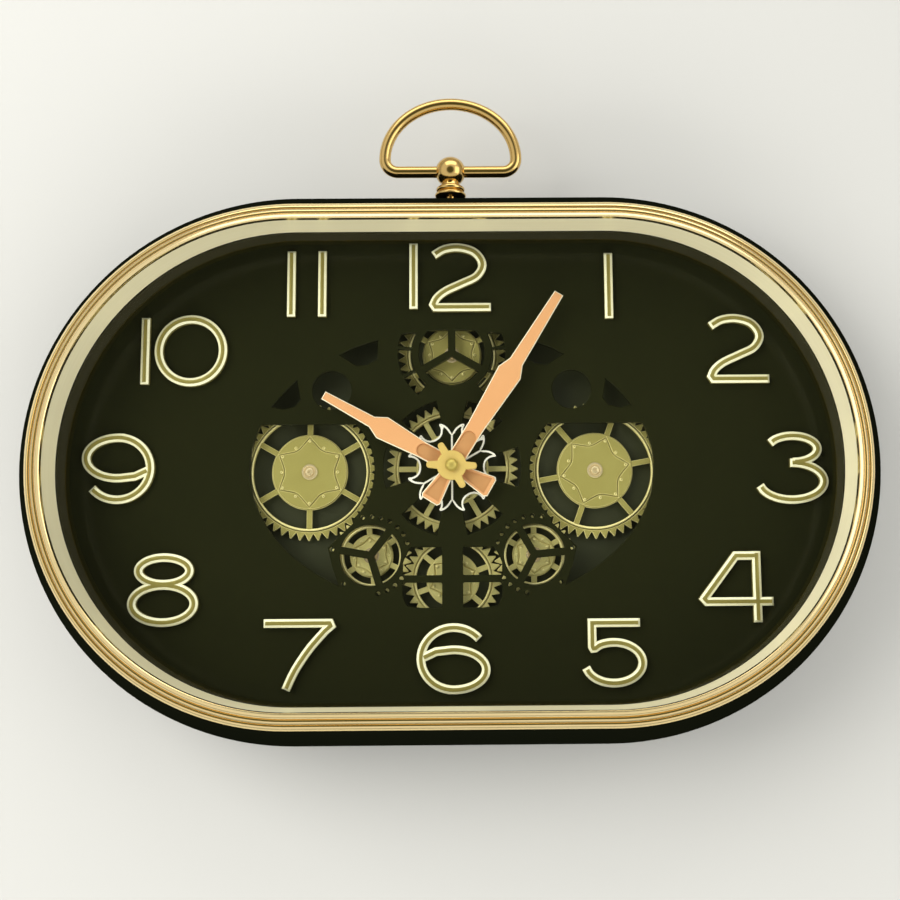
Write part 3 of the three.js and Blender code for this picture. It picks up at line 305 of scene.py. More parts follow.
class Bench:
    """Modelling moves on pieces that lie in the face frame."""

    @staticmethod
    def alone(piece: Piece) -> None:
        """Selects one piece and nothing else."""
        bpy.ops.object.select_all(action="DESELECT")
        piece.select_set(True)
        bpy.context.view_layer.objects.active = piece

    @staticmethod
    @contextmanager
    def editing(piece: Piece) -> Iterator[None]:
        """Holds a piece in edit mode with all of it selected."""
        Bench.alone(piece)
        bpy.ops.object.mode_set(mode="EDIT")
        bpy.ops.mesh.select_mode(type=Pick.VERTS.value)
        bpy.ops.mesh.select_all(action="SELECT")
        yield
        bpy.ops.object.mode_set(mode="OBJECT")

    @staticmethod
    def pick(piece: Piece, kind: Pick, rule: Callable[[object], bool]) -> None:
        """Selects the parts of a piece in edit mode that a rule accepts.

        Args:
            piece: Piece in edit mode.
            kind: Parts to look at.
            rule: Says whether a part is selected.
        """
        bpy.ops.mesh.select_mode(type=kind.value)
        bpy.ops.mesh.select_all(action="DESELECT")
        mesh = bmesh.from_edit_mesh(piece.data)
        for part in {Pick.VERTS: mesh.verts, Pick.EDGES: mesh.edges, Pick.FACES: mesh.faces}[kind]:
            if rule(part):
                part.select_set(True)
        mesh.select_flush_mode()
        bmesh.update_edit_mesh(piece.data)

    @staticmethod
    def close_up() -> None:
        """Merges doubles and turns all faces outwards, in edit mode."""
        bpy.ops.mesh.select_all(action="SELECT")
        bpy.ops.mesh.remove_doubles(threshold=DOUBLE)
        bpy.ops.mesh.normals_make_consistent(inside=False)

    @staticmethod
    def moved_to(places: Sequence[Place]) -> Piece:
        """Moves the points of the primitive that was just added to places and gives it."""
        piece = bpy.context.object
        for vertex, place in zip(piece.data.vertices, places):
            vertex.co = place
        return piece

    @staticmethod
    def ring(places: Sequence[Place]) -> Piece:
        """Adds a circle of edges and moves its points to places."""
        bpy.ops.object.select_all(action="DESELECT")
        bpy.ops.mesh.primitive_circle_add(vertices=len(places), fill_type="NOTHING", location=(0, 0, 0))
        return Bench.moved_to(places)

    @staticmethod
    def joined(pieces: Sequence[Piece]) -> Piece:
        """Joins pieces into the first one."""
        Bench.alone(pieces[0])
        for piece in pieces:
            piece.select_set(True)
        if len(pieces) > 1:
            bpy.ops.object.join()
        return pieces[0]

    @staticmethod
    def plate(
        outline: Loop, low: float, high: float, holes: Sequence[Loop] = (), chamfer: float = 0.0
    ) -> Piece:
        """Fills an outline, extrudes it and insets its front face to a chamfer.

        Args:
            outline: Outer edge.
            low: Level of the rear face.
            high: Level of the front face.
            holes: Outlines of the openings through it.
            chamfer: Width and height of the chamfer along all front edges.

        Returns:
            The plate.
        """
        piece = Bench.joined([Bench.ring([(x, y, low) for x, y in loop]) for loop in (outline, *holes)])
        with Bench.editing(piece):
            if holes:
                bpy.ops.mesh.fill(use_beauty=True)
            else:
                bpy.ops.mesh.edge_face_add()
            rise = high - low - chamfer
            bpy.ops.mesh.extrude_region_move(TRANSFORM_OT_translate={"value": (0, 0, rise)})
            Bench.close_up()
            if chamfer:
                Bench.pick(piece, Pick.FACES, lambda face: face.normal.z > 0.9)
                bpy.ops.mesh.inset(thickness=chamfer, depth=chamfer, use_even_offset=True)
        return piece

    @staticmethod
    def turned(profile: Sequence[Point], steps: int, hollow: bool = False) -> Piece:
        """Spins a profile of radii and levels about the z axis.

        Args:
            profile: Radius and level of each point. An open profile starts and ends on the axis.
            steps: Number of facets round the axis.
            hollow: Whether the profile is a closed section that stays off the axis.

        Returns:
            The turned piece.
        """
        piece = Bench.ring([(radius, 0, level) for radius, level in profile])
        ends = {0, len(profile) - 1}
        with Bench.editing(piece):
            if not hollow:
                Bench.pick(piece, Pick.EDGES, lambda edge: {v.index for v in edge.verts} == ends)
                bpy.ops.mesh.delete(type="EDGE_FACE")
                bpy.ops.mesh.select_all(action="SELECT")
            bpy.ops.mesh.spin(steps=steps, angle=math.tau, center=(0, 0, 0), axis=(0, 0, 1))
            Bench.close_up()
        return piece

    @staticmethod
    def oval_ring(profile: Sequence[Point], straight: float, steps: int = 80) -> Piece:
        """Carries a closed profile of radii and levels round the oval.

        Args:
            profile: Radius and level of each point of the section.
            straight: Length of the straight runs.
            steps: Number of facets round each end.

        Returns:
            The ring.
        """
        half = straight / 2
        piece = Bench.ring([(half, -radius, level) for radius, level in profile])
        with Bench.editing(piece):
            bpy.ops.mesh.spin(steps=steps, angle=-math.pi, center=(half, 0, 0), axis=(0, 0, 1))
            Bench.pick(piece, Pick.VERTS, lambda vertex: abs(vertex.co.x - half) < MM)
            bpy.ops.mesh.extrude_edges_move(TRANSFORM_OT_translate={"value": (-half, 0, 0)})
        Bench.modified(piece, "MIRROR", use_clip=True)
        with Bench.editing(piece):
            Bench.close_up()
        return piece

    @staticmethod
    def skinned(sections: Sequence[Sequence[Place]], closed: bool = False) -> Piece:
        """Rolls a grid into a skin over a row of closed sections.

        Args:
            sections: Sections with equal numbers of points.
            closed: Whether the last section runs into the first.

        Returns:
            The closed piece.
        """
        rows = [*sections, sections[0]] if closed else list(sections)
        bpy.ops.object.select_all(action="DESELECT")
        bpy.ops.mesh.primitive_grid_add(
            x_subdivisions=len(rows[0]), y_subdivisions=len(rows) - 1, size=1.0, location=(0, 0, 0)
        )
        piece = Bench.moved_to([place for row in rows for place in (*row, row[0])])
        with Bench.editing(piece):
            bpy.ops.mesh.remove_doubles(threshold=DOUBLE)
            bpy.ops.mesh.select_all(action="SELECT")
            bpy.ops.mesh.fill_holes(sides=0)
            Bench.close_up()
        return piece

    @staticmethod
    def modified(piece: Piece, kind: str, **settings: object) -> Piece:
        """Adds a modifier with its settings and applies it."""
        Bench.alone(piece)
        bpy.ops.object.modifier_add(type=kind)
        modifier = piece.modifiers[-1]
        for name, value in settings.items():
            setattr(modifier, name, value)
        bpy.ops.object.modifier_apply(modifier=modifier.name)
        return piece

    @staticmethod
    def carved(piece: Piece, tool: Piece, trade: Trade = Trade.CUT) -> Piece:
        """Cuts a tool out of a piece or fuses it to the piece, and removes the tool."""
        Bench.modified(piece, "BOOLEAN", operation=trade.value, object=tool, solver="EXACT")
        bpy.data.objects.remove(tool)
        return piece

    @staticmethod
    def softened(piece: Piece, width: float, segments: int = 2, angle: float = 35.0) -> Piece:
        """Rounds the edges of a piece that are sharper than an angle."""
        limit = {"limit_method": "ANGLE", "angle_limit": math.radians(angle)}
        return Bench.modified(piece, "BEVEL", width=width, segments=segments, **limit)

    @staticmethod
    def placed(piece: Piece, x: float, y: float, z: float = 0.0, degrees: float = 0.0) -> Piece:
        """Turns a piece about z, moves it and applies both to its mesh."""
        Bench.alone(piece)
        piece.location = (x, y, z)
        piece.rotation_euler = (0, 0, math.radians(degrees))
        bpy.ops.object.transform_apply(location=True, rotation=True, scale=True)
        return piece

    @staticmethod
    def tipped(piece: Piece, about_x: float, about_y: float = 0.0) -> Piece:
        """Turns a piece about x or y by degrees and applies that to its mesh."""
        Bench.alone(piece)
        piece.rotation_euler = (math.radians(about_x), math.radians(about_y), 0)
        bpy.ops.object.transform_apply(location=False, rotation=True, scale=False)
        return piece

    @staticmethod
    def copies(piece: Piece, places: Sequence[Sequence[float]]) -> list[Piece]:
        """Puts a copy with a mesh of its own at each place and removes the first piece.

        Args:
            piece: Piece about its own axis.
            places: Place of each copy, and its turn about z in degrees where it has one.

        Returns:
            The copies in order.
        """
        made = []
        for place in places:
            Bench.alone(piece)
            bpy.ops.object.duplicate()
            made.append(Bench.placed(bpy.context.object, *place))
        bpy.data.objects.remove(piece)
        return made


# Finishes


def linear(color: Rgb) -> tuple[float, float, float, float]:
    """Turns an sRGB colour of 0 to 255 into scene-linear values."""
    parts = [c / 255 for c in color]
    return (*(p / 12.92 if p <= 0.04045 else ((p + 0.055) / 1.055) ** 2.4 for p in parts), 1.0)


class Wire:
    """A value in a shader graph. Arithmetic on it adds Math nodes."""

    def __init__(self, graph: "Graph", socket: bpy.types.NodeSocket | None) -> None:
        """Keeps the graph and the socket that gives the value."""
        self.graph = graph
        self.socket = socket

    def _math(self, operation: str, first: "Wire | float", second: "Wire | float") -> "Wire":
        """Adds one Math node."""
        return self.graph.add("ShaderNodeMath", {"operation": operation}, {0: first, 1: second})

    def __add__(self, other: "Wire | float") -> "Wire":
        """Adds."""
        return self._math("ADD", self, other)

    __radd__ = __add__

    def __sub__(self, other: "Wire | float") -> "Wire":
        """Subtracts."""
        return self._math("SUBTRACT", self, other)

    def __rsub__(self, other: "Wire | float") -> "Wire":
        """Subtracts from a value."""
        return self._math("SUBTRACT", other, self)

    def __mul__(self, other: "Wire | float") -> "Wire":
        """Multiplies."""
        return self._math("MULTIPLY", self, other)

    def above(self, level: float) -> "Wire":
        """Gives 1 where the value is above a level and 0 elsewhere."""
        return self._math("GREATER_THAN", self, level)


class Graph:
    """Adds nodes to one node tree."""

    def __init__(self, tree: bpy.types.NodeTree) -> None:
        """Clears the tree."""
        self.tree = tree
        tree.nodes.clear()

    def add(
        self,
        kind: str,
        settings: dict[str, object] | None = None,
        sockets: dict[str | int, object] | None = None,
        output: int | str = 0,
    ) -> Wire:
        """Adds a node.

        Args:
            kind: Type of the node.
            settings: Its settings. The stops of a ramp are pairs of a place and a colour.
            sockets: Values or wires for its inputs.
            output: Output that is used.

        Returns:
            The wire from that output.
        """
        node = self.tree.nodes.new(kind)
        for name, value in (settings or {}).items():
            if name == "stops":
                self._set_stops(node.color_ramp, value)
            else:
                setattr(node, name, value)
        for key, value in (sockets or {}).items():
            if isinstance(value, Wire):
                self.tree.links.new(value.socket, node.inputs[key])
            else:
                node.inputs[key].default_value = value
        return Wire(self, node.outputs[output] if node.outputs else None)

    @staticmethod
    def _set_stops(ramp: bpy.types.ColorRamp, stops: Sequence[tuple[float, tuple[float, ...]]]) -> None:
        """Gives a ramp its stops."""
        while len(ramp.elements) < len(stops):
            ramp.elements.new(1.0)
        for element, (place, color) in zip(ramp.elements, stops):
            element.position = place
            element.color = color

    def spot(self, scale: Place = (1, 1, 1)) -> Wire:
        """Gives the place on the piece, stretched by a scale."""
        place = self.add("ShaderNodeTexCoord", output="Object")
        return self.add("ShaderNodeMapping", sockets={"Vector": place, "Scale": scale})

    def noise(self, scale: float, detail: float = 2.0, stretch: Place = (1, 1, 1)) -> Wire:
        """Gives a noise between 0 and 1 with a number of patches per metre."""
        sockets = {"Vector": self.spot(stretch), "Scale": scale, "Detail": detail}
        return self.add("ShaderNodeTexNoise", sockets=sockets)

    def blend(self, share: Wire, first: Sequence[float] | Wire, second: Sequence[float]) -> Wire:
        """Mixes two colours."""
        return self.add("ShaderNodeMix", {"data_type": "RGBA"}, {0: share, 6: first, 7: second}, output=2)

    def mixed(self, share: Wire, first: Wire, second: Wire) -> Wire:
        """Mixes two shaders."""
        return self.add("ShaderNodeMixShader", sockets={0: share, 1: first, 2: second})


@dataclass(frozen=True)
class Look:
    """A named material that is made once."""

    name: str
    color: Rgb

    def material(self) -> bpy.types.Material:
        """Makes the material, or gives it if it exists."""
        made = bpy.data.materials.get(self.name)
        if not made:
            made = bpy.data.materials.new(self.name)
            made.use_nodes = True
            graph = Graph(made.node_tree)
            graph.add("ShaderNodeOutputMaterial", sockets={"Surface": self.shader(graph)})
        return made

    def shader(self, graph: Graph) -> Wire:
        """Builds the surface."""
        raise NotImplementedError


@dataclass(frozen=True)
class Finish(Look):
    """A solid finish: its colour, a second tone in soft patches, an uneven polish and a fine grain."""

    shade: Rgb  # second tone
    roughness: float  # mean roughness
    uneven: float  # swing of the roughness
    metallic: float  # share of metal
    patches: float  # patches of the second tone per metre
    grain: float  # grains per metre
    depth: float  # depth of the grain in metres
    coat: float = 0.0  # weight of a clear coat
    stretch: Place = (1, 1, 1)  # stretch of the patches and the grain along each axis
    gloss: float = 0.5  # level of the mirror-like share

    def tone(self, graph: Graph) -> Wire:
        """Gives the colour over the surface."""
        patch = graph.noise(self.patches, 3.0, self.stretch)
        return graph.blend(patch, linear(self.color), linear(self.shade))

    def shader(self, graph: Graph) -> Wire:
        """Builds the surface from the colour, the polish and the grain."""
        polish = graph.noise(self.patches * 2.3, 4.0, self.stretch)
        bump = {"Strength": 1.0, "Distance": self.depth, "Height": graph.noise(self.grain, 2.0, self.stretch)}
        sockets = {
            "Base Color": self.tone(graph),
            "Metallic": self.metallic,
            "Roughness": self.roughness + (polish - 0.5) * self.uneven,
            "Coat Weight": self.coat,
            "Coat Roughness": 0.05,
            "Specular IOR Level": self.gloss,
            "Normal": graph.add("ShaderNodeBump", sockets=bump),
        }
        return graph.add("ShaderNodeBsdfPrincipled", sockets=sockets)


@dataclass(frozen=True)
class Sleeve(Finish):
    """A round cell: a plain sleeve between bare metal ends."""

    half: float = 0.0225  # half of the sleeve's length in metres
    metal: Rgb = (196, 196, 198)  # colour of the ends

    def tone(self, graph: Graph) -> Wire:
        """Gives the colour of the sleeve and of the bare ends."""
        along = graph.add("ShaderNodeSeparateXYZ", sockets={0: graph.spot()}, output=0)
        bare = (along * along).above(self.half**2)
        return graph.blend(bare, linear(self.color), linear(self.metal))


@dataclass(frozen=True)
class Pane(Look):
    """Clear glass that lets lamps through and mirrors a little of the room."""

    strength: float  # how much stronger than one face it mirrors

    def shader(self, graph: Graph) -> Wire:
        """Builds the surface from what is seen through it and what it mirrors."""
        rear = graph.add("ShaderNodeNewGeometry", output="Backfacing")
        mirror = graph.add("ShaderNodeFresnel", sockets={"IOR": 1.5}) * (1 - rear) * self.strength
        clear = graph.add("ShaderNodeBsdfTransparent", sockets={"Color": linear(self.color)})
        gloss = graph.add("ShaderNodeBsdfGlossy", sockets={"Color": (1, 1, 1, 1), "Roughness": 0.02})
        return graph.mixed(mirror, clear, gloss)


@dataclass(frozen=True)
class Paint(Look):
    """Wall paint that is seen from the front only and casts no shadow."""

    def shader(self, graph: Graph) -> Wire:
        """Builds the surface from the paint and from clear air."""
        rear = graph.add("ShaderNodeNewGeometry", output="Backfacing")
        shadow = graph.add("ShaderNodeLightPath", output="Is Shadow Ray")
        unseen = rear + shadow - rear * shadow
        tone = graph.blend(graph.noise(3.0), linear(self.color), linear(tuple(c - 3 for c in self.color)))
        plain = graph.add("ShaderNodeBsdfDiffuse", sockets={"Color": tone})
        return graph.mixed(unseen, plain, graph.add("ShaderNodeBsdfTransparent"))


class Slot(Enum):
    """Material slots of the record, each with its finish."""

    black_gloss = Finish(
        "polished_black", (27, 28, 14), (33, 33, 16), 0.12, 0.05, 0.0, 14, 60, 0.00002, gloss=0.12
    )
    black_satin = Finish(
        "moulded_black", (49, 50, 32), (57, 58, 39), 0.46, 0.12, 0.0, 25, 1600, 0.00006, gloss=0.3
    )
    gold = Finish("gold_plate", (250, 228, 172), (242, 214, 150), 0.16, 0.04, 1.0, 18, 70, 0.000006)
    champagne = Finish(
        "champagne_satin", (238, 231, 194), (229, 221, 178), 0.38, 0.1, 0.12, 12, 30, 0.00002, 0.0, (1, 40, 1)
    )
    glass = Pane("clear_pane", (250, 252, 250), 0.8)
    rose_gold = Finish(
        "rose_gold_lacquer", (238, 176, 124), (230, 162, 109), 0.42, 0.1, 0.2, 30, 900, 0.00002, 0.2
    )
    cream_gold = Finish(
        "cream_lacquer", (226, 194, 116), (216, 180, 100), 0.4, 0.1, 0.2, 60, 900, 0.00002, 0.15
    )
    brass = Finish("turned_brass", (222, 198, 112), (204, 176, 88), 0.38, 0.12, 0.6, 90, 1500, 0.00002)
    olive_gold = Finish(
        "gear_lacquer", (174, 162, 94), (158, 145, 79), 0.36, 0.14, 0.25, 60, 700, 0.00003, 0.2
    )
    ivory = Finish("ivory_moulding", (218, 212, 196), (208, 201, 184), 0.5, 0.14, 0.0, 30, 1800, 0.00005)
    cell_sleeve = Sleeve("printed_sleeve", (52, 56, 62), (52, 56, 62), 0.3, 0.1, 0.35, 60, 400, 0.00001, 0.3)
    steel = Finish("zinc_steel", (188, 190, 194), (170, 172, 178), 0.32, 0.16, 1.0, 70, 1100, 0.00003)


BODY = Finish("body_black", (11, 13, 7), (16, 18, 10), 0.5, 0.1, 0.0, 12, 900, 0.00002, gloss=0.0)
SPACER = Finish("spacer_black", (29, 28, 9), (35, 33, 13), 0.45, 0.1, 0.0, 12, 900, 0.00002, gloss=0.0)
OUTLINE = Finish("silver_outline", (255, 250, 240), (248, 240, 226), 0.36, 0.1, 0.05, 60, 700, 0.00001, 0.2)
# Painted shade and painted dark reflection: a dark olive copy of the digits' gold for their flat tops and
# flanks
NUMERAL_PAINTED_SHADE = Finish("numeral_flat_painted_shade", (186, 170, 96), (170, 153, 81), 0.34, 0.08, 0.6, 40, 500, 0.00001)
# Painted highlight: a near-white copy of the digits' gold for their bevelled rims
NUMERAL_PAINTED_HIGHLIGHT = Finish("numeral_rim_painted_highlight", (255, 250, 220), (254, 242, 198), 0.3, 0.08, 0.08, 40, 500, 0.00001, 0.4)
# Painted highlight: a bright copy of the gear colour on the sloping chamfers of teeth, spokes, lip, hub and
# studs
GEAR_EDGE_PAINTED_HIGHLIGHT = Finish("gear_edge_painted_highlight", (240, 226, 160), (230, 212, 140), 0.3, 0.1, 0.2, 60, 700, 0.00001, 0.3)
PIN = Finish("pin_rings", (240, 218, 176), (226, 200, 152), 0.26, 0.1, 0.55, 90, 1500, 0.00001, 0.3)
# Painted shade: a darker copy of the hands' rose gold for the floors of their channels and tail dishes
HAND_HOLLOWS_PAINTED_SHADE = Finish("hand_hollows_painted_shade", (222, 163, 110), (202, 142, 90), 0.4, 0.1, 0.3, 120, 900, 0.00002, 0.2)
# Painted highlight: a near-white copy of the hands' rose gold for their sloping edges
HAND_EDGE_PAINTED_HIGHLIGHT = Finish("hand_edge_painted_highlight", (255, 244, 222), (255, 236, 206), 0.3, 0.08, 0.05, 40, 500, 0.00001, 0.3)
# Painted light: a paler copy of the gear lacquer that lifts the small gears out of the shade of their narrow
# windows
SMALL_GEAR_PAINTED_LIGHT = Finish("small_gear_painted_light", (224, 211, 142), (208, 193, 122), 0.36, 0.14, 0.2, 60, 700, 0.00003, 0.2)
BOW_GOLD = Finish("bow_gold", (224, 190, 120), (208, 172, 100), 0.17, 0.05, 1.0, 18, 70, 0.000006)


class Wardrobe:
    """Dresses finished pieces and puts them on the bodies of the CAD nodes that they stand for."""

    def __init__(self) -> None:
        """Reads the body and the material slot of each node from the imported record."""
        record = frame["record"]
        groups = record["behaviour"]["bodies"].items()
        self.bodies = {node: body for body, nodes in groups for node in nodes}
        self.slots = {part["node"]: part["material_slot"] for part in record["subparts"]}

    @staticmethod
    def upright(piece: Piece, name: str, angle: float) -> None:
        """Names a piece, smooths it and stands it upright in the row frame, in metres."""
        Bench.alone(piece)
        bpy.ops.object.shade_smooth_by_angle(angle=math.radians(angle))
        piece.name = name
        piece.data.name = name
        piece.rotation_euler = (math.pi / 2, 0, 0)
        piece.scale = (MM, MM, MM)
        bpy.ops.object.transform_apply(location=True, rotation=True, scale=True)

    @staticmethod
    def coat(piece: Piece, look: Look) -> None:
        """Gives a whole piece one look."""
        piece.data.materials.clear()
        piece.data.materials.append(look.material())

    @staticmethod
    def edge(piece: Piece, finish: Finish, low: float, high: float) -> None:
        """Gives the sloping faces of a dressed piece a second finish, which here is always a painted
        highlight.

        Args:
            piece: Dressed piece.
            finish: Finish of the sloping faces.
            low: Least share of a face's normal that points to the viewer.
            high: Greatest share of it.
        """
        piece.data.materials.append(finish.material())
        for face in piece.data.polygons:
            face.material_index = int(low < -face.normal.y < high)

    @staticmethod
    def floor(piece: Piece, finish: Finish, level: float) -> None:
        """Gives the faces of a dressed piece that face the viewer from behind a level a finish of their own,
        which here is the painted shade of the hands' sunk floors.

        Args:
            piece: Dressed piece.
            finish: Finish of those faces.
            level: Level in millimetres.
        """
        piece.data.materials.append(finish.material())
        for face in piece.data.polygons:
            if face.normal.y < -SLOPE[1] and -face.center.y < level * MM:
                face.material_index = len(piece.data.materials) - 1

    def wear(self, node: str, piece: Piece) -> None:
        """Dresses a piece in the face frame that stands for a CAD node."""
        self.upright(piece, f"dressed_{node}", FLAT_ANGLE if node in FLAT_PIECES else SMOOTH_ANGLE)
        self.coat(piece, Slot[self.slots[node]].value)
        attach(piece, self.bodies[node])
        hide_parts(node)
        LOG.info("%s rides on %s", piece.name, self.bodies[node])

    def trim(self, name: str, piece: Piece, body: str, finish: Finish) -> None:
        """Dresses a piece of trim that no CAD node has."""
        self.upright(piece, name, SMOOTH_ANGLE)
        self.coat(piece, finish)
        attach(piece, body)
        LOG.info("%s is trim on %s", name, body)

    def paint(self, node: str) -> None:
        """Gives a CAD node that stays its finish."""
        self.coat(frame["nodes"][node], Slot[self.slots[node]].value)
        LOG.info("%s keeps its CAD shape", node)


@dataclass
class SubAssembly:
    """Pieces that are modelled together, with the sizes that several of them share."""

    straight: float = 160.0  # length of the oval's straight runs
    face: float = 122.5  # radius of the face at the round ends
    boss: Point = (104.0, 58.0)  # place of the dial's bosses on the gear plate

    def build(self) -> dict[str, Piece]:
        """Models the pieces, by the CAD nodes that they stand for."""
        raise NotImplementedError

    def oval(self, radius: float) -> Loop:
        """Outlines the clock's oval at a radius of its round ends, anticlockwise."""
        return capsule(self.straight / 2, 0, radius, OVAL_STEP)

    def dress(self, wardrobe: Wardrobe) -> None:
        """Models the pieces and dresses them."""
        for node, piece in self.build().items():
            wardrobe.wear(node, piece)
            self.detail(node, piece)

    def detail(self, node: str, piece: Piece) -> None:
        """Adds what a dressed piece has beyond its slot's finish."""


# Case


@dataclass
class Case(SubAssembly):
    """Black flared body with its gold moulding, champagne wall, glass and dial spacer."""

    liner: float = 2.1  # thickness of the champagne wall at its foot
    draft: float = 1.1  # how far that wall leans outwards at its top
    spacer: float = 4.2  # thickness of the black ring under the glass
    lean: float = 0.6  # how far that ring leans inwards at its foot
    soft: Point = (0.4, 0.3)  # chamfers of the wall's and the ring's inner edges
    body: float = 143.2  # largest radius of the body
    rear: float = 139.8  # radius of the body at the wall
    gold: float = 132.5  # outer radius of the gold moulding
    dial: float = 35.2  # level of the dial's front
    glass: Point = (52.9, 55.4)  # levels of the pane
    pane_edge: float = 0.3  # chamfer of the pane
    brim: float = 73.2  # level of the top of the champagne wall
    seat: float = 65.5  # level of the seat of the gold moulding
    crest: float = 70.17  # level of the body's edge beside the moulding
    cover: float = 137.4  # radius of the rear cover
    rim: float = 0.5  # chamfer of the body's inner edge at the wall
    flank: tuple[Point, ...] = (  # outside of the body: distance in from the largest radius, and level
        (2.8, 0.6), (1.0, 11.3), (0, 32.2), (0, 40.2), (1.74, 52.9), (4.36, 60.7), (6.98, 65.5), (8.94, 68.9),
        (10.0, 70.1),
    )
    flank_steps: int = 40  # pieces of the curve along the flank
    hollow: tuple[Point, ...] = (  # inside of the body behind the dial
        (130.5, 35.5), (130.5, 30.2), (139.5, 24.2), (137.7, 10.2), (130.8, 10.2), (130.8, 6.8),
    )
    shoulder: tuple[Point, ...] = ((132.5, 71.6), (132.35, 72.25))  # outer edge of the moulding
    rolls: tuple[tuple[int, tuple[Point, ...]], ...] = (  # steps, curve and following groove of each roll
        (5, ((132.0, 72.6), (131.5, 73.2), (131.0, 73.6), (130.3, 73.85), (130.2, 73.3), (129.6, 73.3))),
        (5, ((129.55, 73.4), (129.0, 74.1), (128.5, 74.55), (127.8, 74.8), (127.7, 74.2), (127.0, 74.2))),
        (6, ((126.95, 74.3), (126.4, 75.4), (125.9, 76.1), (125.0, 76.55), (123.8, 76.7))),
    )
    lip: tuple[Point, ...] = ((0.12, 76.35), (0, 75.7))  # inner edge of the moulding, from its inner radius

    def build(self) -> dict[str, Piece]:
        """Models the four rings and the pane.

        Returns:
            Pieces by their CAD nodes.
        """
        low, high = self.glass
        top = self.face + self.draft
        ledge = self.face + self.spacer
        wall = band(self.face, self.face + self.liner, high + GAP, self.brim)[:3]
        wall += [(top + self.soft[0], self.brim), (top, self.brim - self.soft[0])]
        ring = band(self.face - self.lean, ledge, self.dial + GAP, low - GAP)[:3]
        ring += [(self.face + self.soft[1], low - GAP), (self.face, low - GAP - self.soft[1])]
        return {
            "case_body": Bench.oval_ring(self.shell(), self.straight),
            "gold_bezel": Bench.oval_ring(self.moulding(), self.straight),
            "champagne_wall": Bench.oval_ring(wall, self.straight),
            "front_glass": Bench.plate(self.oval(ledge), low, high, chamfer=self.pane_edge),
            "dial_spacer": Bench.oval_ring(ring, self.straight),
        }

    def detail(self, node: str, piece: Piece) -> None:
        """Gives the body and the spacer their own blacks."""
        own = {"case_body": BODY, "dial_spacer": SPACER}.get(node)
        if own:
            Wardrobe.coat(piece, own)

    def shell(self) -> Loop:
        """Draws the section of the body: a smooth flank outside, steps for the other pieces inside.

        Returns:
            Radii and levels of the section.
        """
        steps = [
            (self.gold, self.crest),
            (self.gold, self.seat - GAP),
            (self.face + self.liner, self.seat - GAP),
            (self.face + self.liner, self.glass[1] + GAP),
            (self.face + self.spacer, self.glass[1] + GAP),
            (self.face + self.spacer, self.dial + GAP),
        ]
        back = [(self.cover, self.hollow[-1][1]), (self.cover, self.rim), (self.cover + self.rim, 0)]
        return [
            (self.rear, 0),
            *flowing([(self.body - inset, level) for inset, level in self.flank], self.flank_steps),
            *[(radius + GAP, level) for radius, level in steps],
            *self.hollow,
            *[(radius + GAP, level) for radius, level in back],
        ]

    def moulding(self) -> Loop:
        """Draws the section of the gold moulding: three rolls that climb towards the face, parted by grooves.

        Returns:
            Radii and levels of the section.
        """
        inner = self.face + self.draft - GAP
        outer = self.face + self.liner + GAP
        loop: Loop = [(self.gold, self.seat), *self.shoulder]
        for steps, points in self.rolls:
            loop += [*bead(*points[:4], steps), *points[4:]]
        loop += [(inner + offset, level) for offset, level in self.lip]
        return [*loop, (inner, self.brim + GAP), (outer, self.brim + GAP), (outer, self.seat)]


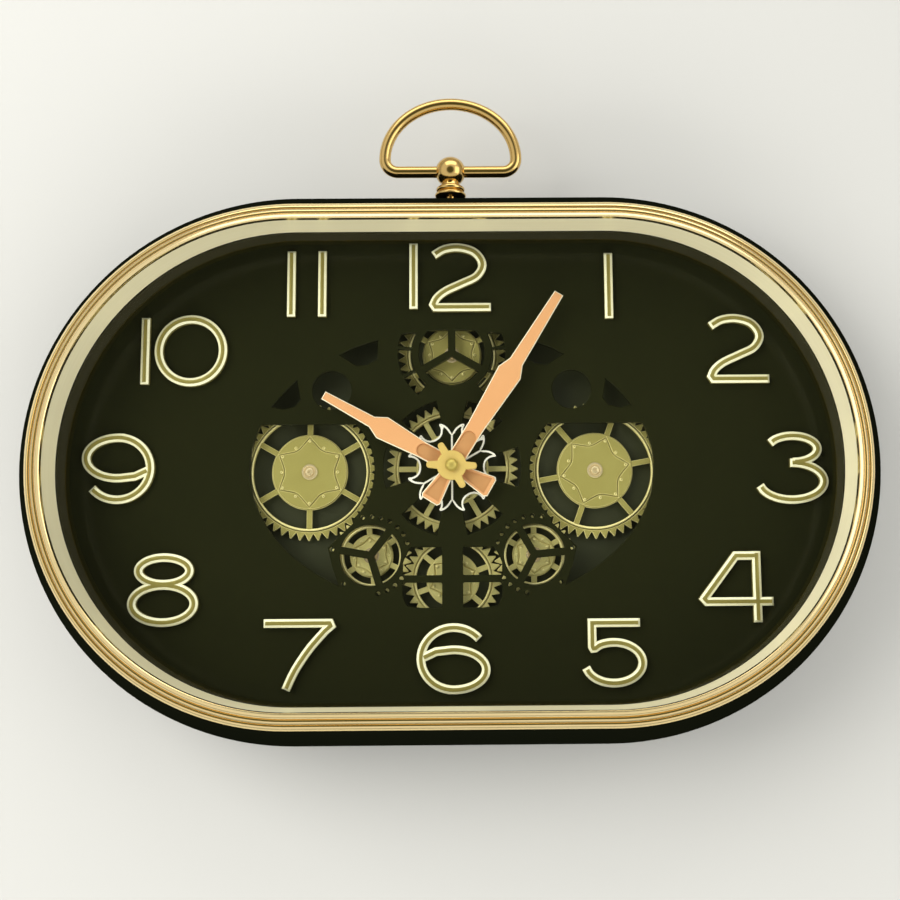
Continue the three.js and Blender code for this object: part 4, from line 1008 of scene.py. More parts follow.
@dataclass
class Rear(SubAssembly):
    """Rear cover, its screws and the keyhole plate that the clock hangs from."""

    radius: float = 137.4  # radius of the cover at the round ends
    levels: Point = (4.0, 6.5)  # rear and front of the cover
    hanger: float = 104.0  # height of the keyhole plate above the arbor
    hanger_half: Point = (28.0, 11.0)  # half width and half height of the keyhole plate
    hanger_thick: float = 1.2  # thickness of the keyhole plate
    soft: Point = (0.35, 0.18)  # rounding of the edges of the cover and of the keyhole plate
    nail: Point = (5.2, 2.3)  # radius of the keyhole's round end and half the width of its slot
    nail_run: float = 9.0  # length of the slot
    screw: Point = (1.4, 2.8)  # radius of a screw's shank and of its head
    screw_length: float = 7.0  # length of a screw's shank
    screw_rise: float = 1.5  # height of a screw's head
    thread: Point = (0.8, 0.28)  # pitch and depth of a screw's thread
    turns: int = 6  # turns of a screw's thread
    cross: Place = (1.6, 0.32, 0.75)  # half length, half width and floor of a screw's cross recess
    drive_half: float = 28.55  # half the side of the window of the drive units
    motor: Point = (-81.1, -38.3)  # bottom and top of the gear motor's window
    pocket: Point = (14.0, 11.2)  # half width and half height of the nail's pocket
    screw_spot: Point = (134.1, 62.0)  # radius and angle of the cover screws on the round ends
    post_spot: Point = (124.6, 45.0)  # radius and angle of the clamp posts on the round ends
    post: Place = (4.0, 31.9, 0.4)  # radius, top and chamfer of a clamp post
    ribs: tuple[float, ...] = (-112.0, -76.0, 74.4, 110.4)  # left edges of the stiffening ribs
    rib: Place = (1.6, -96.0, 86.0)  # width, bottom and top of a rib
    rib_rise: float = 3.2  # height of a rib above the cover

    def around(self, radius: float, degrees: float) -> Loop:
        """Gives the same place on each quarter of the round ends."""
        x, y = polar(radius, degrees)
        return four(self.straight / 2 + x, y)

    def build(self) -> dict[str, Piece]:
        """Models the cover, the keyhole plate and six screws.

        Returns:
            Pieces by their CAD nodes.
        """
        low = self.levels[0]
        eye = self.hanger_half[0] - 1.5 * self.screw[1]
        eyes = [(-eye, self.hanger), (eye, self.hanger)]
        screws = self.around(*self.screw_spot)
        names = [*(f"cover_screw_{i}" for i in range(1, 5)), "hanger_screw_left", "hanger_screw_right"]
        spots = [(x, y, low - GAP) for x, y in screws]
        spots += [(x, y, low - 2 * GAP - self.hanger_thick) for x, y in eyes]
        pieces = {"back_cover": self.lid([*screws, *eyes]), "hanger_plate": self.keyhole(eyes)}
        copies = Bench.copies(self.cross_head(), [(*spot, 25 + 37 * i) for i, spot in enumerate(spots)])
        return pieces | dict(zip(names, copies))

    def lid(self, holes: Loop) -> Piece:
        """Models the cover with its windows, clamp posts and stiffening ribs.

        Args:
            holes: Places of the screws.

        Returns:
            The cover.
        """
        low, high = self.levels
        half, (bottom, top) = self.drive_half, self.motor
        window = [(half, top), (half, half), (-half, half), (-half, bottom), (half, bottom)]
        across, up = self.pocket
        pocket = rounded_box(-across, across, self.hanger - up, self.hanger + up, 1.0)
        bores = [circle(x, y, self.screw[0] + GAP, 14) for x, y in holes]
        lid = Bench.plate(self.oval(self.radius), low, high, [window, pocket, *bores])
        radius, rise, soft = self.post
        profile = [*band(0, radius, high - 1, rise - soft)[:3], (radius - soft, rise), (0, rise)]
        posts = Bench.copies(Bench.turned(profile, 24), self.around(*self.post_spot))
        width, foot, head = self.rib
        boxes = [rounded_box(x, x + width, foot, head, 0.7) for x in self.ribs]
        ribs = [Bench.plate(box, high - 0.4, high + self.rib_rise, chamfer=0.4) for box in boxes]
        return Bench.joined([Bench.softened(lid, self.soft[0]), *posts, *ribs])

    def keyhole(self, eyes: Loop) -> Piece:
        """Models the keyhole plate.

        Args:
            eyes: Places of its screws.

        Returns:
            The plate.
        """
        front = self.levels[0] - GAP
        width, end = self.hanger_half
        head, slot = self.nail
        lean = math.degrees(math.asin(slot / head))
        low = self.hanger - self.nail_run / 2
        hole = arc(0, low, head, head, 90 + lean, 450 - lean, 8)
        hole += arc(0, low + self.nail_run - slot, slot, slot, 0, 180, 15)
        bores = [circle(x, y, self.screw[0] + GAP, 16) for x, y in eyes]
        outline = capsule(width - end, self.hanger, end, 4)
        plate = Bench.plate(outline, front - self.hanger_thick, front, [hole, *bores])
        return Bench.softened(plate, self.soft[1])

    def cross_head(self) -> Piece:
        """Models a pan-head screw with a cross recess, from the level under its head.

        Returns:
            The screw.
        """
        shank, head = self.screw
        pitch, depth = self.thread
        dome = arc(0, 0, head, -self.screw_rise, 0, 90, 15)[::-1]
        thread: Loop = []
        for i in range(self.turns):
            thread += [(shank, 0.3 + pitch * i), (shank - depth, 0.7 + pitch * i)]
        screw = Bench.turned([*dome, (shank, 0), *thread, (0, self.screw_length)], 28)
        reach, half, floor = self.cross
        for degrees in (0, 90):
            slot = spun(rounded_box(-reach, reach, -half, half, 0.1), degrees)
            Bench.carved(screw, Bench.plate(slot, -self.screw_rise - 0.1, -floor))
        return screw


# Bow


@dataclass
class Bow(SubAssembly):
    """D-shaped bow that swings in a ball on a ribbed neck."""

    height: float = 158.1  # height of the ball's centre above the arbor
    level: float = 47.2  # level of the bow
    wire: float = 3.1  # radius of the wire
    half: float = 35.1  # half width of the bow along the middle of its wire
    rise: float = 38.0  # height of the bow along the middle of its wire
    corner: float = 7.0  # radius of its lower corners
    start: float = 0.6  # where the wire starts beside the ball's centre
    ball: float = 8.1  # radius of the ball
    rib: float = 8.3  # radius of the neck's ribs
    rounding: float = 1.2  # rounding of the neck's ribs
    groove: Point = (2.2, 2.7)  # groove above the lower rib: in from the rib, up from the seat
    upper: Place = (1.9, 1.65, 0.5)  # upper rib: in from the lower one; height and half width in thirds
    throat: Point = (0.4, 2.4)  # groove under the ball: out from the waist, up in thirds of the neck
    waist: float = 5.0  # radius of the neck under the ball
    seat: float = -14.4  # level of the foot of the neck below the ball's centre
    stud: Point = (2.7, 8.0)  # radius and length of the stud in the body
    soft: float = 0.35  # rounding of the bore's edges

    def build(self) -> dict[str, Piece]:
        """Models the bow and its post."""
        return {"bow_post": self.post(), "bow_ring": self.ring()}

    def detail(self, node: str, piece: Piece) -> None:
        """Gives the bow and its post their deeper gold."""
        Wardrobe.coat(piece, BOW_GOLD)

    def ring(self) -> Piece:
        """Sweeps the wire along the D.

        Returns:
            The bow.
        """
        corner = arc(self.half - self.corner, self.corner, self.corner, self.corner, -90, 0, 9)
        crown = arc(0, self.corner, self.half, self.rise - self.corner, 0, 90, 4)[1:]
        side = [(self.start, 0.0), (0.6 * self.half, 0.0), *corner, *crown]
        route = [*side, *[(-x, y) for x, y in reversed(side[:-1])]]
        wire = circle(0, 0, self.wire, 24)
        sections = []
        for i, (x, y) in enumerate(route):
            ahead = Vector(route[min(i + 1, len(route) - 1)]) - Vector(route[max(i - 1, 0)])
            across = Vector((-ahead.y, ahead.x)).normalized()
            y += self.height
            sections.append([(x + across.x * out, y + across.y * out, self.level + up) for out, up in wire])
        return Bench.skinned(sections)

    def post(self) -> Piece:
        """Turns the ribbed neck with its ball, bores the ball and stands the post on the body.

        Returns:
            The post.
        """
        radius, length = self.stud
        neck = -math.sqrt(self.ball**2 - self.waist**2)
        third = (neck - self.seat) / 3
        edge = self.rounding
        inset, middle, half = self.upper
        profile = [
            *band(0, radius, self.seat - length, self.seat)[:3],
            *arc(self.rib - edge, self.seat + edge, edge, edge, -90, 90, 18),
            (self.rib - self.groove[0], self.seat + self.groove[1]),
            *arc(self.rib - inset, self.seat + middle * third, edge, half * third, -90, 90, 18),
            (self.waist + self.throat[0], self.seat + self.throat[1] * third),
            *arc(0, 0, self.ball, self.ball, math.degrees(math.asin(neck / self.ball)), 90, 6)[:-1],
            (0, self.ball),
        ]
        post = Bench.tipped(Bench.turned(profile, 48), -90)
        reach = 20.0
        bore = Bench.tipped(Bench.turned(band(0, self.wire + GAP, -reach, reach), 32), 0, 90)
        post = Bench.softened(Bench.carved(post, bore), self.soft, angle=50)
        return Bench.placed(post, 0, self.height, self.level)


# Gear train


@dataclass(frozen=True)
class Gear:
    """A gear in its place."""

    teeth: int
    x: float = 0.0  # centre, to the right
    y: float = 0.0  # centre, up
    phase: float = 0.0  # angle of its first tooth in radians
    module: float = 1.55  # pitch diameter per tooth

    @property
    def pitch(self) -> float:
        """Gives the pitch radius."""
        return self.module * self.teeth / 2

    def driving(self, teeth: int, direction: float) -> "Gear":
        """Places a gear that this one drives, with a gap where this one has a tooth.

        Args:
            teeth: Teeth of the driven gear.
            direction: Direction from this gear in degrees.

        Returns:
            The driven gear.
        """
        line = math.radians(direction)
        x, y = polar(self.pitch + self.module * teeth / 2, direction)
        lead = (line - self.phase) * self.teeth / math.tau
        phase = line + math.pi - (0.5 - lead) * math.tau / teeth
        return Gear(teeth, self.x + x, self.y + y, phase, self.module)


CENTER = Gear(44)
TOP = CENTER.driving(36, 90)
BOTTOM = CENTER.driving(32, 270)
LOWER_LEFT = BOTTOM.driving(26, 163.5)
LOWER_RIGHT = BOTTOM.driving(26, 16.5)
LEFT = LOWER_LEFT.driving(46, 126.5)
RIGHT = LOWER_RIGHT.driving(46, 53.5)
PINNED = {"top": TOP, "lower_left": LOWER_LEFT, "lower_right": LOWER_RIGHT, "left": LEFT, "right": RIGHT}


@dataclass
class GearTrain(SubAssembly):
    """Seven spoked gears, their pins and the plate behind them."""

    back: float = 24.9  # level of the gears' rear faces
    thick: float = 2.5  # thickness of a gear
    hub_rise: float = 1.0  # height of the hub disc above the gear
    hub_share: float = 0.57  # radius of the hub disc as a share of the pitch radius
    addendum: float = 1.0  # tooth above the pitch circle
    dedendum: float = 2.6  # tooth below the pitch circle
    rim: float = 2.8  # width of the rim below the teeth
    crown: float = 0.3  # half width of a tooth at its tip
    flank: float = 0.78  # half width of a tooth on the pitch circle
    spokes: int = 6
    spoke: float = 2.9  # width of a spoke
    lip: Point = (0.25, 1.15)  # inner and outer edge of the lip, from the rim's inner edge
    lip_rise: Point = (0.75, 1.0)  # height of the lip at its edges and along its crest
    sink: float = 0.3  # how deep the lip and the hub disc stand in the gear
    edges: Place = (0.3, 0.2, 0.25)  # chamfers of the teeth, of the spokes, and of hub and star
    sleeve: float = 1.8  # wall of the sleeve behind a gear
    hub_gap: float = 0.6  # how far the hub disc stays inside the roots of the spokes
    tip_gap: float = 1.9  # how far the star's tips stay inside them
    stud: float = 0.85  # radius of the studs on the hub
    stud_gaps: Point = (3.6, 1.3)  # outer studs from those roots, inner studs from the star's groove
    emboss: float = 0.2  # height of the star above the hub disc
    waist: float = 0.64  # radius of the star between its tips, as a share of the hub's
    groove: float = 0.65  # width of the grooves round the star and round the lip
    lift: float = 2.2  # gap between a gear and the plate
    pin: float = 2.0  # radius of a pin
    head: Point = (4.2, 1.3)  # radius and height of a pin's head
    rings: tuple[Point, ...] = (  # section of a pin's head, as shares of its radius and height
        (1, 0), (1, 0.3), (0.92, 0.5), (0.72, 0.55), (0.64, 0.25), (0.52, 0.25), (0.46, 0.85), (0.36, 1),
        (0.2, 1), (0.14, 0.75), (0, 0.75),
    )
    rivet_head: Place = (0.4, 0.7, 1.1)  # chamfer, edge and height of a pin's head behind the plate
    shaft_foot: Point = (1.5, 15.4)  # radius of the motor's shaft and level of its foot
    dome: Point = (0.4, 0.65)  # rounding of the shaft's head, as shares of its radius and height
    bores: Place = (4.3, 1.8, 2.1)  # bores of the plate for the neck, the shaft and the dial's bosses
    plate_edge: float = 0.3  # chamfer of the plate
    plate: Place = (116.0, 80.0, 30.0)  # half width, half height and corner of the plate
    plate_levels: Point = (20.7, 22.7)  # rear and front of the plate

    @property
    def seat(self) -> float:
        """Gives the level of the pins' heads above a gear's rear face."""
        return self.thick + self.hub_rise + GAP

    def build(self) -> dict[str, Piece]:
        """Models the plate, the gears and the pins.

        Returns:
            Pieces by their CAD nodes.
        """
        # Gear, radius of its bore and angle of its first spoke
        gears = {
            "center_gear": (CENTER, 4.25, 0),
            "top_gear": (TOP, 2.25, 30),
            "bottom_gear": (BOTTOM, 1.8, 20),
            "lower_left_gear": (LOWER_LEFT, 2.25, 35),
            "lower_right_gear": (LOWER_RIGHT, 2.25, 30),
            "left_gear": (LEFT, 2.25, 30),
            "right_gear": (RIGHT, 2.25, 10),
        }
        pieces = {"gear_plate": self.bed()}
        for name, (gear, bore, spokes) in gears.items():
            pieces[name] = Bench.placed(self.wheel(gear, bore, spokes), gear.x, gear.y, self.back)
        pins = Bench.copies(self.rivet(), [(gear.x, gear.y, self.back) for gear in PINNED.values()])
        pieces |= {f"{name}_post": pin for name, pin in zip(PINNED, pins)}
        pieces["motor_shaft"] = Bench.placed(self.shaft(), BOTTOM.x, BOTTOM.y, self.back)
        return pieces

    def detail(self, node: str, piece: Piece) -> None:
        """Gives the small gears a paler colour as painted light, every gear a painted highlight on its
        sloping faces, and the pins a polish of their own.
        """
        # Painted light: a paler gear colour in place of the shade of the narrow windows
        if node in SMALL_GEARS:
            Wardrobe.coat(piece, SMALL_GEAR_PAINTED_LIGHT)
        # Painted highlight on the sloping faces of every gear
        if node.endswith("_gear"):
            Wardrobe.edge(piece, GEAR_EDGE_PAINTED_HIGHLIGHT, *SLOPE)
        elif node != "gear_plate":
            Wardrobe.coat(piece, PIN)

    def toothed(self, gear: Gear) -> Loop:
        """Outlines the teeth: tapered, with a narrow flat at each tip and a wider one in each valley.

        Args:
            gear: Gear whose teeth they are.

        Returns:
            The outline, anticlockwise.
        """
        tip, root = gear.pitch + self.addendum, gear.pitch - self.dedendum
        foot = self.flank + (self.flank - self.crown) * self.dedendum / self.addendum
        tooth = [(root, -foot), (tip, -self.crown), (tip, self.crown), (root, foot)]
        turns = [math.degrees(gear.phase) + 360 * i / gear.teeth for i in range(gear.teeth)]
        return [point for turn in turns for point in spun(tooth, turn)]

    def window(self, inner: float, outer: float, middle: float) -> Loop:
        """Outlines the opening between two spokes.

        Args:
            inner: Radius at the hub.
            outer: Radius at the rim.
            middle: Angle of its middle in degrees.

        Returns:
            The outline, anticlockwise.
        """
        near, far = (180 / self.spokes - math.degrees(math.asin(self.spoke / 2 / r)) for r in (inner, outer))
        rim = arc(0, 0, outer, outer, middle - far, middle + far)
        return [*rim, *arc(0, 0, inner, inner, middle + near, middle - near)]

    def wheel(self, gear: Gear, bore: float, spoke_angle: float) -> Piece:
        """Models a gear about its own axis: teeth, rim, spokes, hub disc and an embossed star with studs.

        Args:
            gear: Its teeth.
            bore: Radius of its bore.
            spoke_angle: Angle of its first spoke in degrees.

        Returns:
            The gear, from the plane of its rear face.
        """
        hub = self.hub_share * gear.pitch
        waist = self.waist * hub
        rim = gear.pitch - self.dedendum - self.rim
        start, stop = rim + self.lip[0], rim + self.lip[1]
        line = stop + self.groove
        top = self.thick + self.hub_rise
        low = self.thick - self.sink
        side, crest = self.lip_rise
        tooth_edge, spoke_edge, hub_edge = self.edges
        turn = 360 / self.spokes
        hole = circle(0, 0, bore, 24)
        windows = [self.window(hub, rim, spoke_angle + (i + 0.5) * turn) for i in range(self.spokes)]
        star = self.star(hub - self.tip_gap, waist, spoke_angle)
        channel = shrunk(star, -self.groove)
        sections = [
            band(start, line + 0.4, 0.1, 0.5 * self.thick),
            [*band(start, stop, low, low + side)[:3], ((start + stop) / 2, low + crest), (start, low + side)],
            band(bore, bore + self.sleeve, GAP - self.lift, self.sink),
        ]
        parts = [
            Bench.plate(self.toothed(gear), 0, self.thick, [circle(0, 0, line, ROUND)], tooth_edge),
            Bench.plate(circle(0, 0, stop, ROUND), 0, self.thick, [*windows, hole], spoke_edge),
            *[Bench.turned(section, ROUND, hollow=True) for section in sections],
            Bench.plate(circle(0, 0, hub - self.hub_gap, ROUND), low, top, [channel], hub_edge),
            Bench.plate(star, low, top + self.emboss, [hole], hub_edge),
        ]
        dome = arc(0, top + 0.1, self.stud, 0.6, 0, 90, 30)[:-1]
        stud = Bench.turned([(0, top - 0.2), (self.stud, top - 0.2), *dome, (0, top + 0.7)], 12)
        outer, inner = hub - self.stud_gaps[0], waist + self.groove + self.stud_gaps[1]
        rows = [(outer, self.emboss), (inner, 0.0)] * self.spokes
        places = [(*polar(reach, spoke_angle + i * turn / 2), lift) for i, (reach, lift) in enumerate(rows)]
        return Bench.joined([*parts, *Bench.copies(stud, places)])

    def star(self, tip: float, waist: float, start: float) -> Loop:
        """Outlines a star whose sides are hollow arcs from tip to tip.

        Args:
            tip: Radius of its tips.
            waist: Radius between them.
            start: Angle of its first tip in degrees.

        Returns:
            The outline, anticlockwise.
        """
        turn = 360 / self.spokes
        shares = [k / 8 for k in range(8)]
        side = [(share, tip + (waist - tip) * math.sin(math.pi * share) ** 0.8) for share in shares]
        tips = range(self.spokes)
        return [polar(radius, start + turn * (i + share)) for i in tips for share, radius in side]

    def rivet(self) -> Piece:
        """Models a pin about its own axis: a rivet behind the plate and a ringed, dimpled head in front.

        Returns:
            The pin, from the plane of its gear's rear face.
        """
        radius, height = self.head
        low, high = self.plate_levels
        foot = low - high - self.lift - GAP
        soft, edge, rise = self.rivet_head
        profile = [(0, foot - rise), (radius - soft, foot - rise), (radius, foot - edge), (radius, foot)]
        profile += [(self.pin, foot), (self.pin, self.seat)]
        profile += [(radius * out, self.seat + height * up) for out, up in self.rings]
        return Bench.turned(profile, 32)

    def shaft(self) -> Piece:
        """Models the motor's shaft with its head.

        Returns:
            The shaft, from the plane of the bottom gear's rear face.
        """
        radius, height = self.head
        out, up = self.dome[0] * radius, self.dome[1] * height
        top = self.seat + height
        slim, foot = self.shaft_foot
        profile = [*band(0, slim, foot - self.back, self.seat)[:3], (radius, self.seat)]
        return Bench.turned([*profile, *arc(radius - out, top - up, out, up, 0, 90, 18), (0, top)], 32)

    def bed(self) -> Piece:
        """Models the plate behind the gears.

        Returns:
            The plate.
        """
        half, rise, corner = self.plate
        neck, shaft, boss = self.bores
        bores = [circle(0, 0, neck, 24), circle(BOTTOM.x, BOTTOM.y, shaft, 16)]
        bores += [circle(gear.x, gear.y, self.pin + GAP, 16) for gear in PINNED.values()]
        bores += [circle(x, y, boss, 16) for x, y in four(*self.boss)]
        outline = rounded_box(-half, half, -rise, rise, corner, 6)
        return Bench.plate(outline, *self.plate_levels, bores, self.plate_edge)


# Dial


@dataclass
class Dial(SubAssembly):
    """Black dial with its skeleton windows, and the rosette under the hands."""

    radius: float = 130.2  # radius of the dial at the round ends
    levels: Point = (32.2, 35.2)  # rear and front of the dial
    edge: float = 0.35  # chamfer of the dial's front edges
    sink: float = 0.5  # how deep the bosses and the collar stand in the dial
    plate_front: float = 22.7  # front of the gear plate
    stake: Place = (1.8, 3.5, 19.6)  # radii of a boss's tip and shoulder, and level of its tip
    collar: Point = (8.0, 28.7)  # radius and foot of the collar round the neck
    skeleton: Point = (107.0, 74.5)  # half width and half height of the skeleton field
    hub_window: Place = (15.5, 36.5, 17.0)  # radii and half angle of the windows round the hands
    big_window: Point = (35.2, 23.5)  # radius of the big gears' windows, height of the bar above them
    small_window: float = 16.0  # radius of the small gears' windows
    top_window: float = 17.6  # radius of the top gear's window
    bar: float = 4.0  # width of the bars across the small and the top gears
    bars: tuple[Place, ...] = ((90, 210, 330), (-73, 52, 170), (-118, 5, 120))  # angles: top, left, right
    slots: Point = (21.8, 28.8)  # radii of the slots beside the top gear
    slot_arcs: tuple[Point, ...] = ((-52, -28), (-24, 4), (8, 28))  # angles of those slots on the right
    pane: Point = (5.5, 20.5)  # inner edge and width of the panes before the bottom gear
    pane_rows: tuple[Point, ...] = ((2.2, 16.8), (-14.7, -1.7))  # their bottoms and tops, from its centre
    pane_radius: float = 27.4  # radius that rounds the panes off
    pane_corner: float = 0.8  # radius of their corners
    peep: Point = (1.2, 20.4)  # radius of the peep holes and their distance from the small gears' centres
    shoulder: Place = (64.0, 41.8, 10.5)  # place and radius of the round shoulder windows
    skirt: tuple[Point, ...] = ((58, -66), (82, -52), (98, -32), (106, -6))  # edge below the big gears
    inlet: tuple[Point, ...] = ((52, -29), (65.5, -42), (63, -52))  # and its way back past the small gears
    leaves: tuple[tuple[Point, ...], ...] = (  # leaf windows above the big gears and beside the top gear
        ((97, 33.3), (91, 40.7), (82.6, 48), (80.7, 37), (83.5, 33.3), (89.8, 31.7)),
        ((60, 61), (50, 66.5), (39.5, 69), (39.8, 58.7), (45, 55.8), (51, 55.1)),
    )
    neck: float = 4.3  # radius of the hole for the movement's neck
    rosette: Point = (35.5, 36.7)  # levels of the rosette
    petal: tuple[Point, ...] = (  # half of a petal, as angles from its middle and radii
        (0, 17.3), (5, 17.5), (9.3, 18.2), (12.1, 19.3), (13.6, 20.7), (13.9, 22.1), (13.2, 23.4),
        (14.4, 24.0), (17, 23.7), (20.5, 22.6), (23.5, 21.4), (26, 20.1), (28.3, 18.7),
    )
    cleft: float = 17.6  # radius of the clefts between the petals
    line: float = 1.0  # width of the rosette's outline
    line_edge: float = 0.12  # chamfer of that outline
    line_depth: Point = (0.5, 0.25)  # height of that outline, and how far it stands above the rosette
    stem: float = 7.0  # where the rosette's six stems start

    def build(self) -> dict[str, Piece]:
        """Models the dial and the rosette."""
        return {"dial_plate": self.front(), "center_rosette": self.flower()}

    def dress(self, wardrobe: Wardrobe) -> None:
        """Dresses the dial and the rosette, and adds the rosette's bright outline."""
        super().dress(wardrobe)
        wardrobe.trim("rosette_outline", self.outline(), "clock", OUTLINE)

    def front(self) -> Piece:
        """Models the dial with its windows and the bosses behind it.

        Returns:
            The dial.
        """
        low, high = self.levels
        root = low + self.sink
        holes = [*self.windows(), circle(0, 0, self.neck)]
        front = Bench.plate(self.oval(self.radius), low, high, holes, self.edge)
        radius, foot = self.collar
        collar = Bench.turned(band(self.neck, radius, foot, root), 32, hollow=True)
        tip, shoulder, end = self.stake
        profile = [*band(0, tip, end, self.plate_front + GAP)[:3], (shoulder, self.plate_front + GAP)]
        boss = Bench.turned([*profile, (shoulder, root), (0, root)], 24)
        return Bench.joined([front, collar, *Bench.copies(boss, four(*self.boss))])

    def windows(self) -> list[Loop]:
        """Outlines all windows of the skeleton field.

        Returns:
            The outlines.
        """
        fence = ellipse(0, 0, *self.skeleton, 4)
        inner, outer, half = self.hub_window
        found = [sector(0, 0, inner, outer, 60 * i - half, 60 * i + half) for i in range(6)]
        sizes = (self.top_window, self.small_window, self.small_window)
        for gear, radius, bars in zip((TOP, LOWER_LEFT, LOWER_RIGHT), sizes, self.bars):
            ends = [*bars[1:], bars[0] + 360]
            found += [pie(gear.x, gear.y, radius, a, b, self.bar) for a, b in zip(bars, ends)]
        for side in Side:
            found += self.half(side)
        found = [loop for loop in (clipped(loop, fence) for loop in found) if len(loop) > 2]
        return [*found, *self.peeps(found, fence)]

    def half(self, side: Side) -> list[Loop]:
        """Outlines the windows of one half of the dial.

        Args:
            side: Half of the dial.

        Returns:
            The outlines, anticlockwise.
        """
        radius, bar = self.big_window
        wheel = clipped(circle(RIGHT.x, RIGHT.y, radius, 120), band(-200, 200, -200, bar))
        low = [*flowing(self.skirt, 18), *self.inlet]
        loops = [[*free_run(wheel, low), *free_run(low, wheel)], circle(*self.shoulder, 40)]
        loops += [list(leaf) for leaf in self.leaves]
        loops += [sector(TOP.x, TOP.y, *self.slots, start, end) for start, end in self.slot_arcs]
        round_end = circle(BOTTOM.x, BOTTOM.y, self.pane_radius, ROUND)
        left, width = self.pane
        for bottom, top in self.pane_rows:
            box = rounded_box(left, left + width, BOTTOM.y + bottom, BOTTOM.y + top, self.pane_corner, 30)
            loops.append(clipped(box, round_end))
        return [[(-x, y) for x, y in reversed(loop)] for loop in loops] if side is Side.LEFT else loops

    def peeps(self, windows: Sequence[Loop], fence: Sequence[Point]) -> list[Loop]:
        """Outlines small holes over the teeth of the small gears, where the dial has room for them.

        Args:
            windows: Outlines of the other windows.
            fence: Outline of the skeleton field.

        Returns:
            The outlines.
        """
        size, reach = self.peep
        found = []
        for gear in (LOWER_LEFT, LOWER_RIGHT):
            for i in range(gear.teeth):
                right, up = polar(reach, math.degrees(gear.phase) + 360 * i / gear.teeth)
                x, y = gear.x + right, gear.y + up
                halo = circle(x, y, 1.5 * size, 12)
                if all(inside(p, fence) and not any(inside(p, w) for w in windows) for p in halo):
                    found.append(circle(x, y, size, 10))
        return found

    def petals(self) -> Loop:
        """Outlines the six petals of the rosette, anticlockwise."""
        petal = [(-30, self.cleft), *[(-a, r) for a, r in reversed(self.petal[1:])], *self.petal]
        return [polar(radius, 60 * i + angle) for i in range(6) for angle, radius in petal]

    def flower(self) -> Piece:
        """Models the black rosette."""
        low, high = self.rosette
        return Bench.plate(self.petals(), low, high - self.line_depth[1], [circle(0, 0, self.neck)], 0.1)

    def outline(self) -> Piece:
        """Models the bright line along the rosette's edge and its six stems.

        Returns:
            The line and the stems.
        """
        high = self.rosette[1]
        low = high - self.line_depth[0]
        edge = self.petals()
        stem = rounded_box(self.stem, self.cleft - 0.6, -self.line / 2, self.line / 2, 0.3)
        stems = [spun(stem, 60 * i + 30) for i in range(6)]
        parts = [Bench.plate(edge, low, high, [shrunk(edge, self.line)], self.line_edge)]
        parts += [Bench.plate(loop, low, high - 0.02, chamfer=self.line_edge) for loop in stems]
        return Bench.joined(parts)


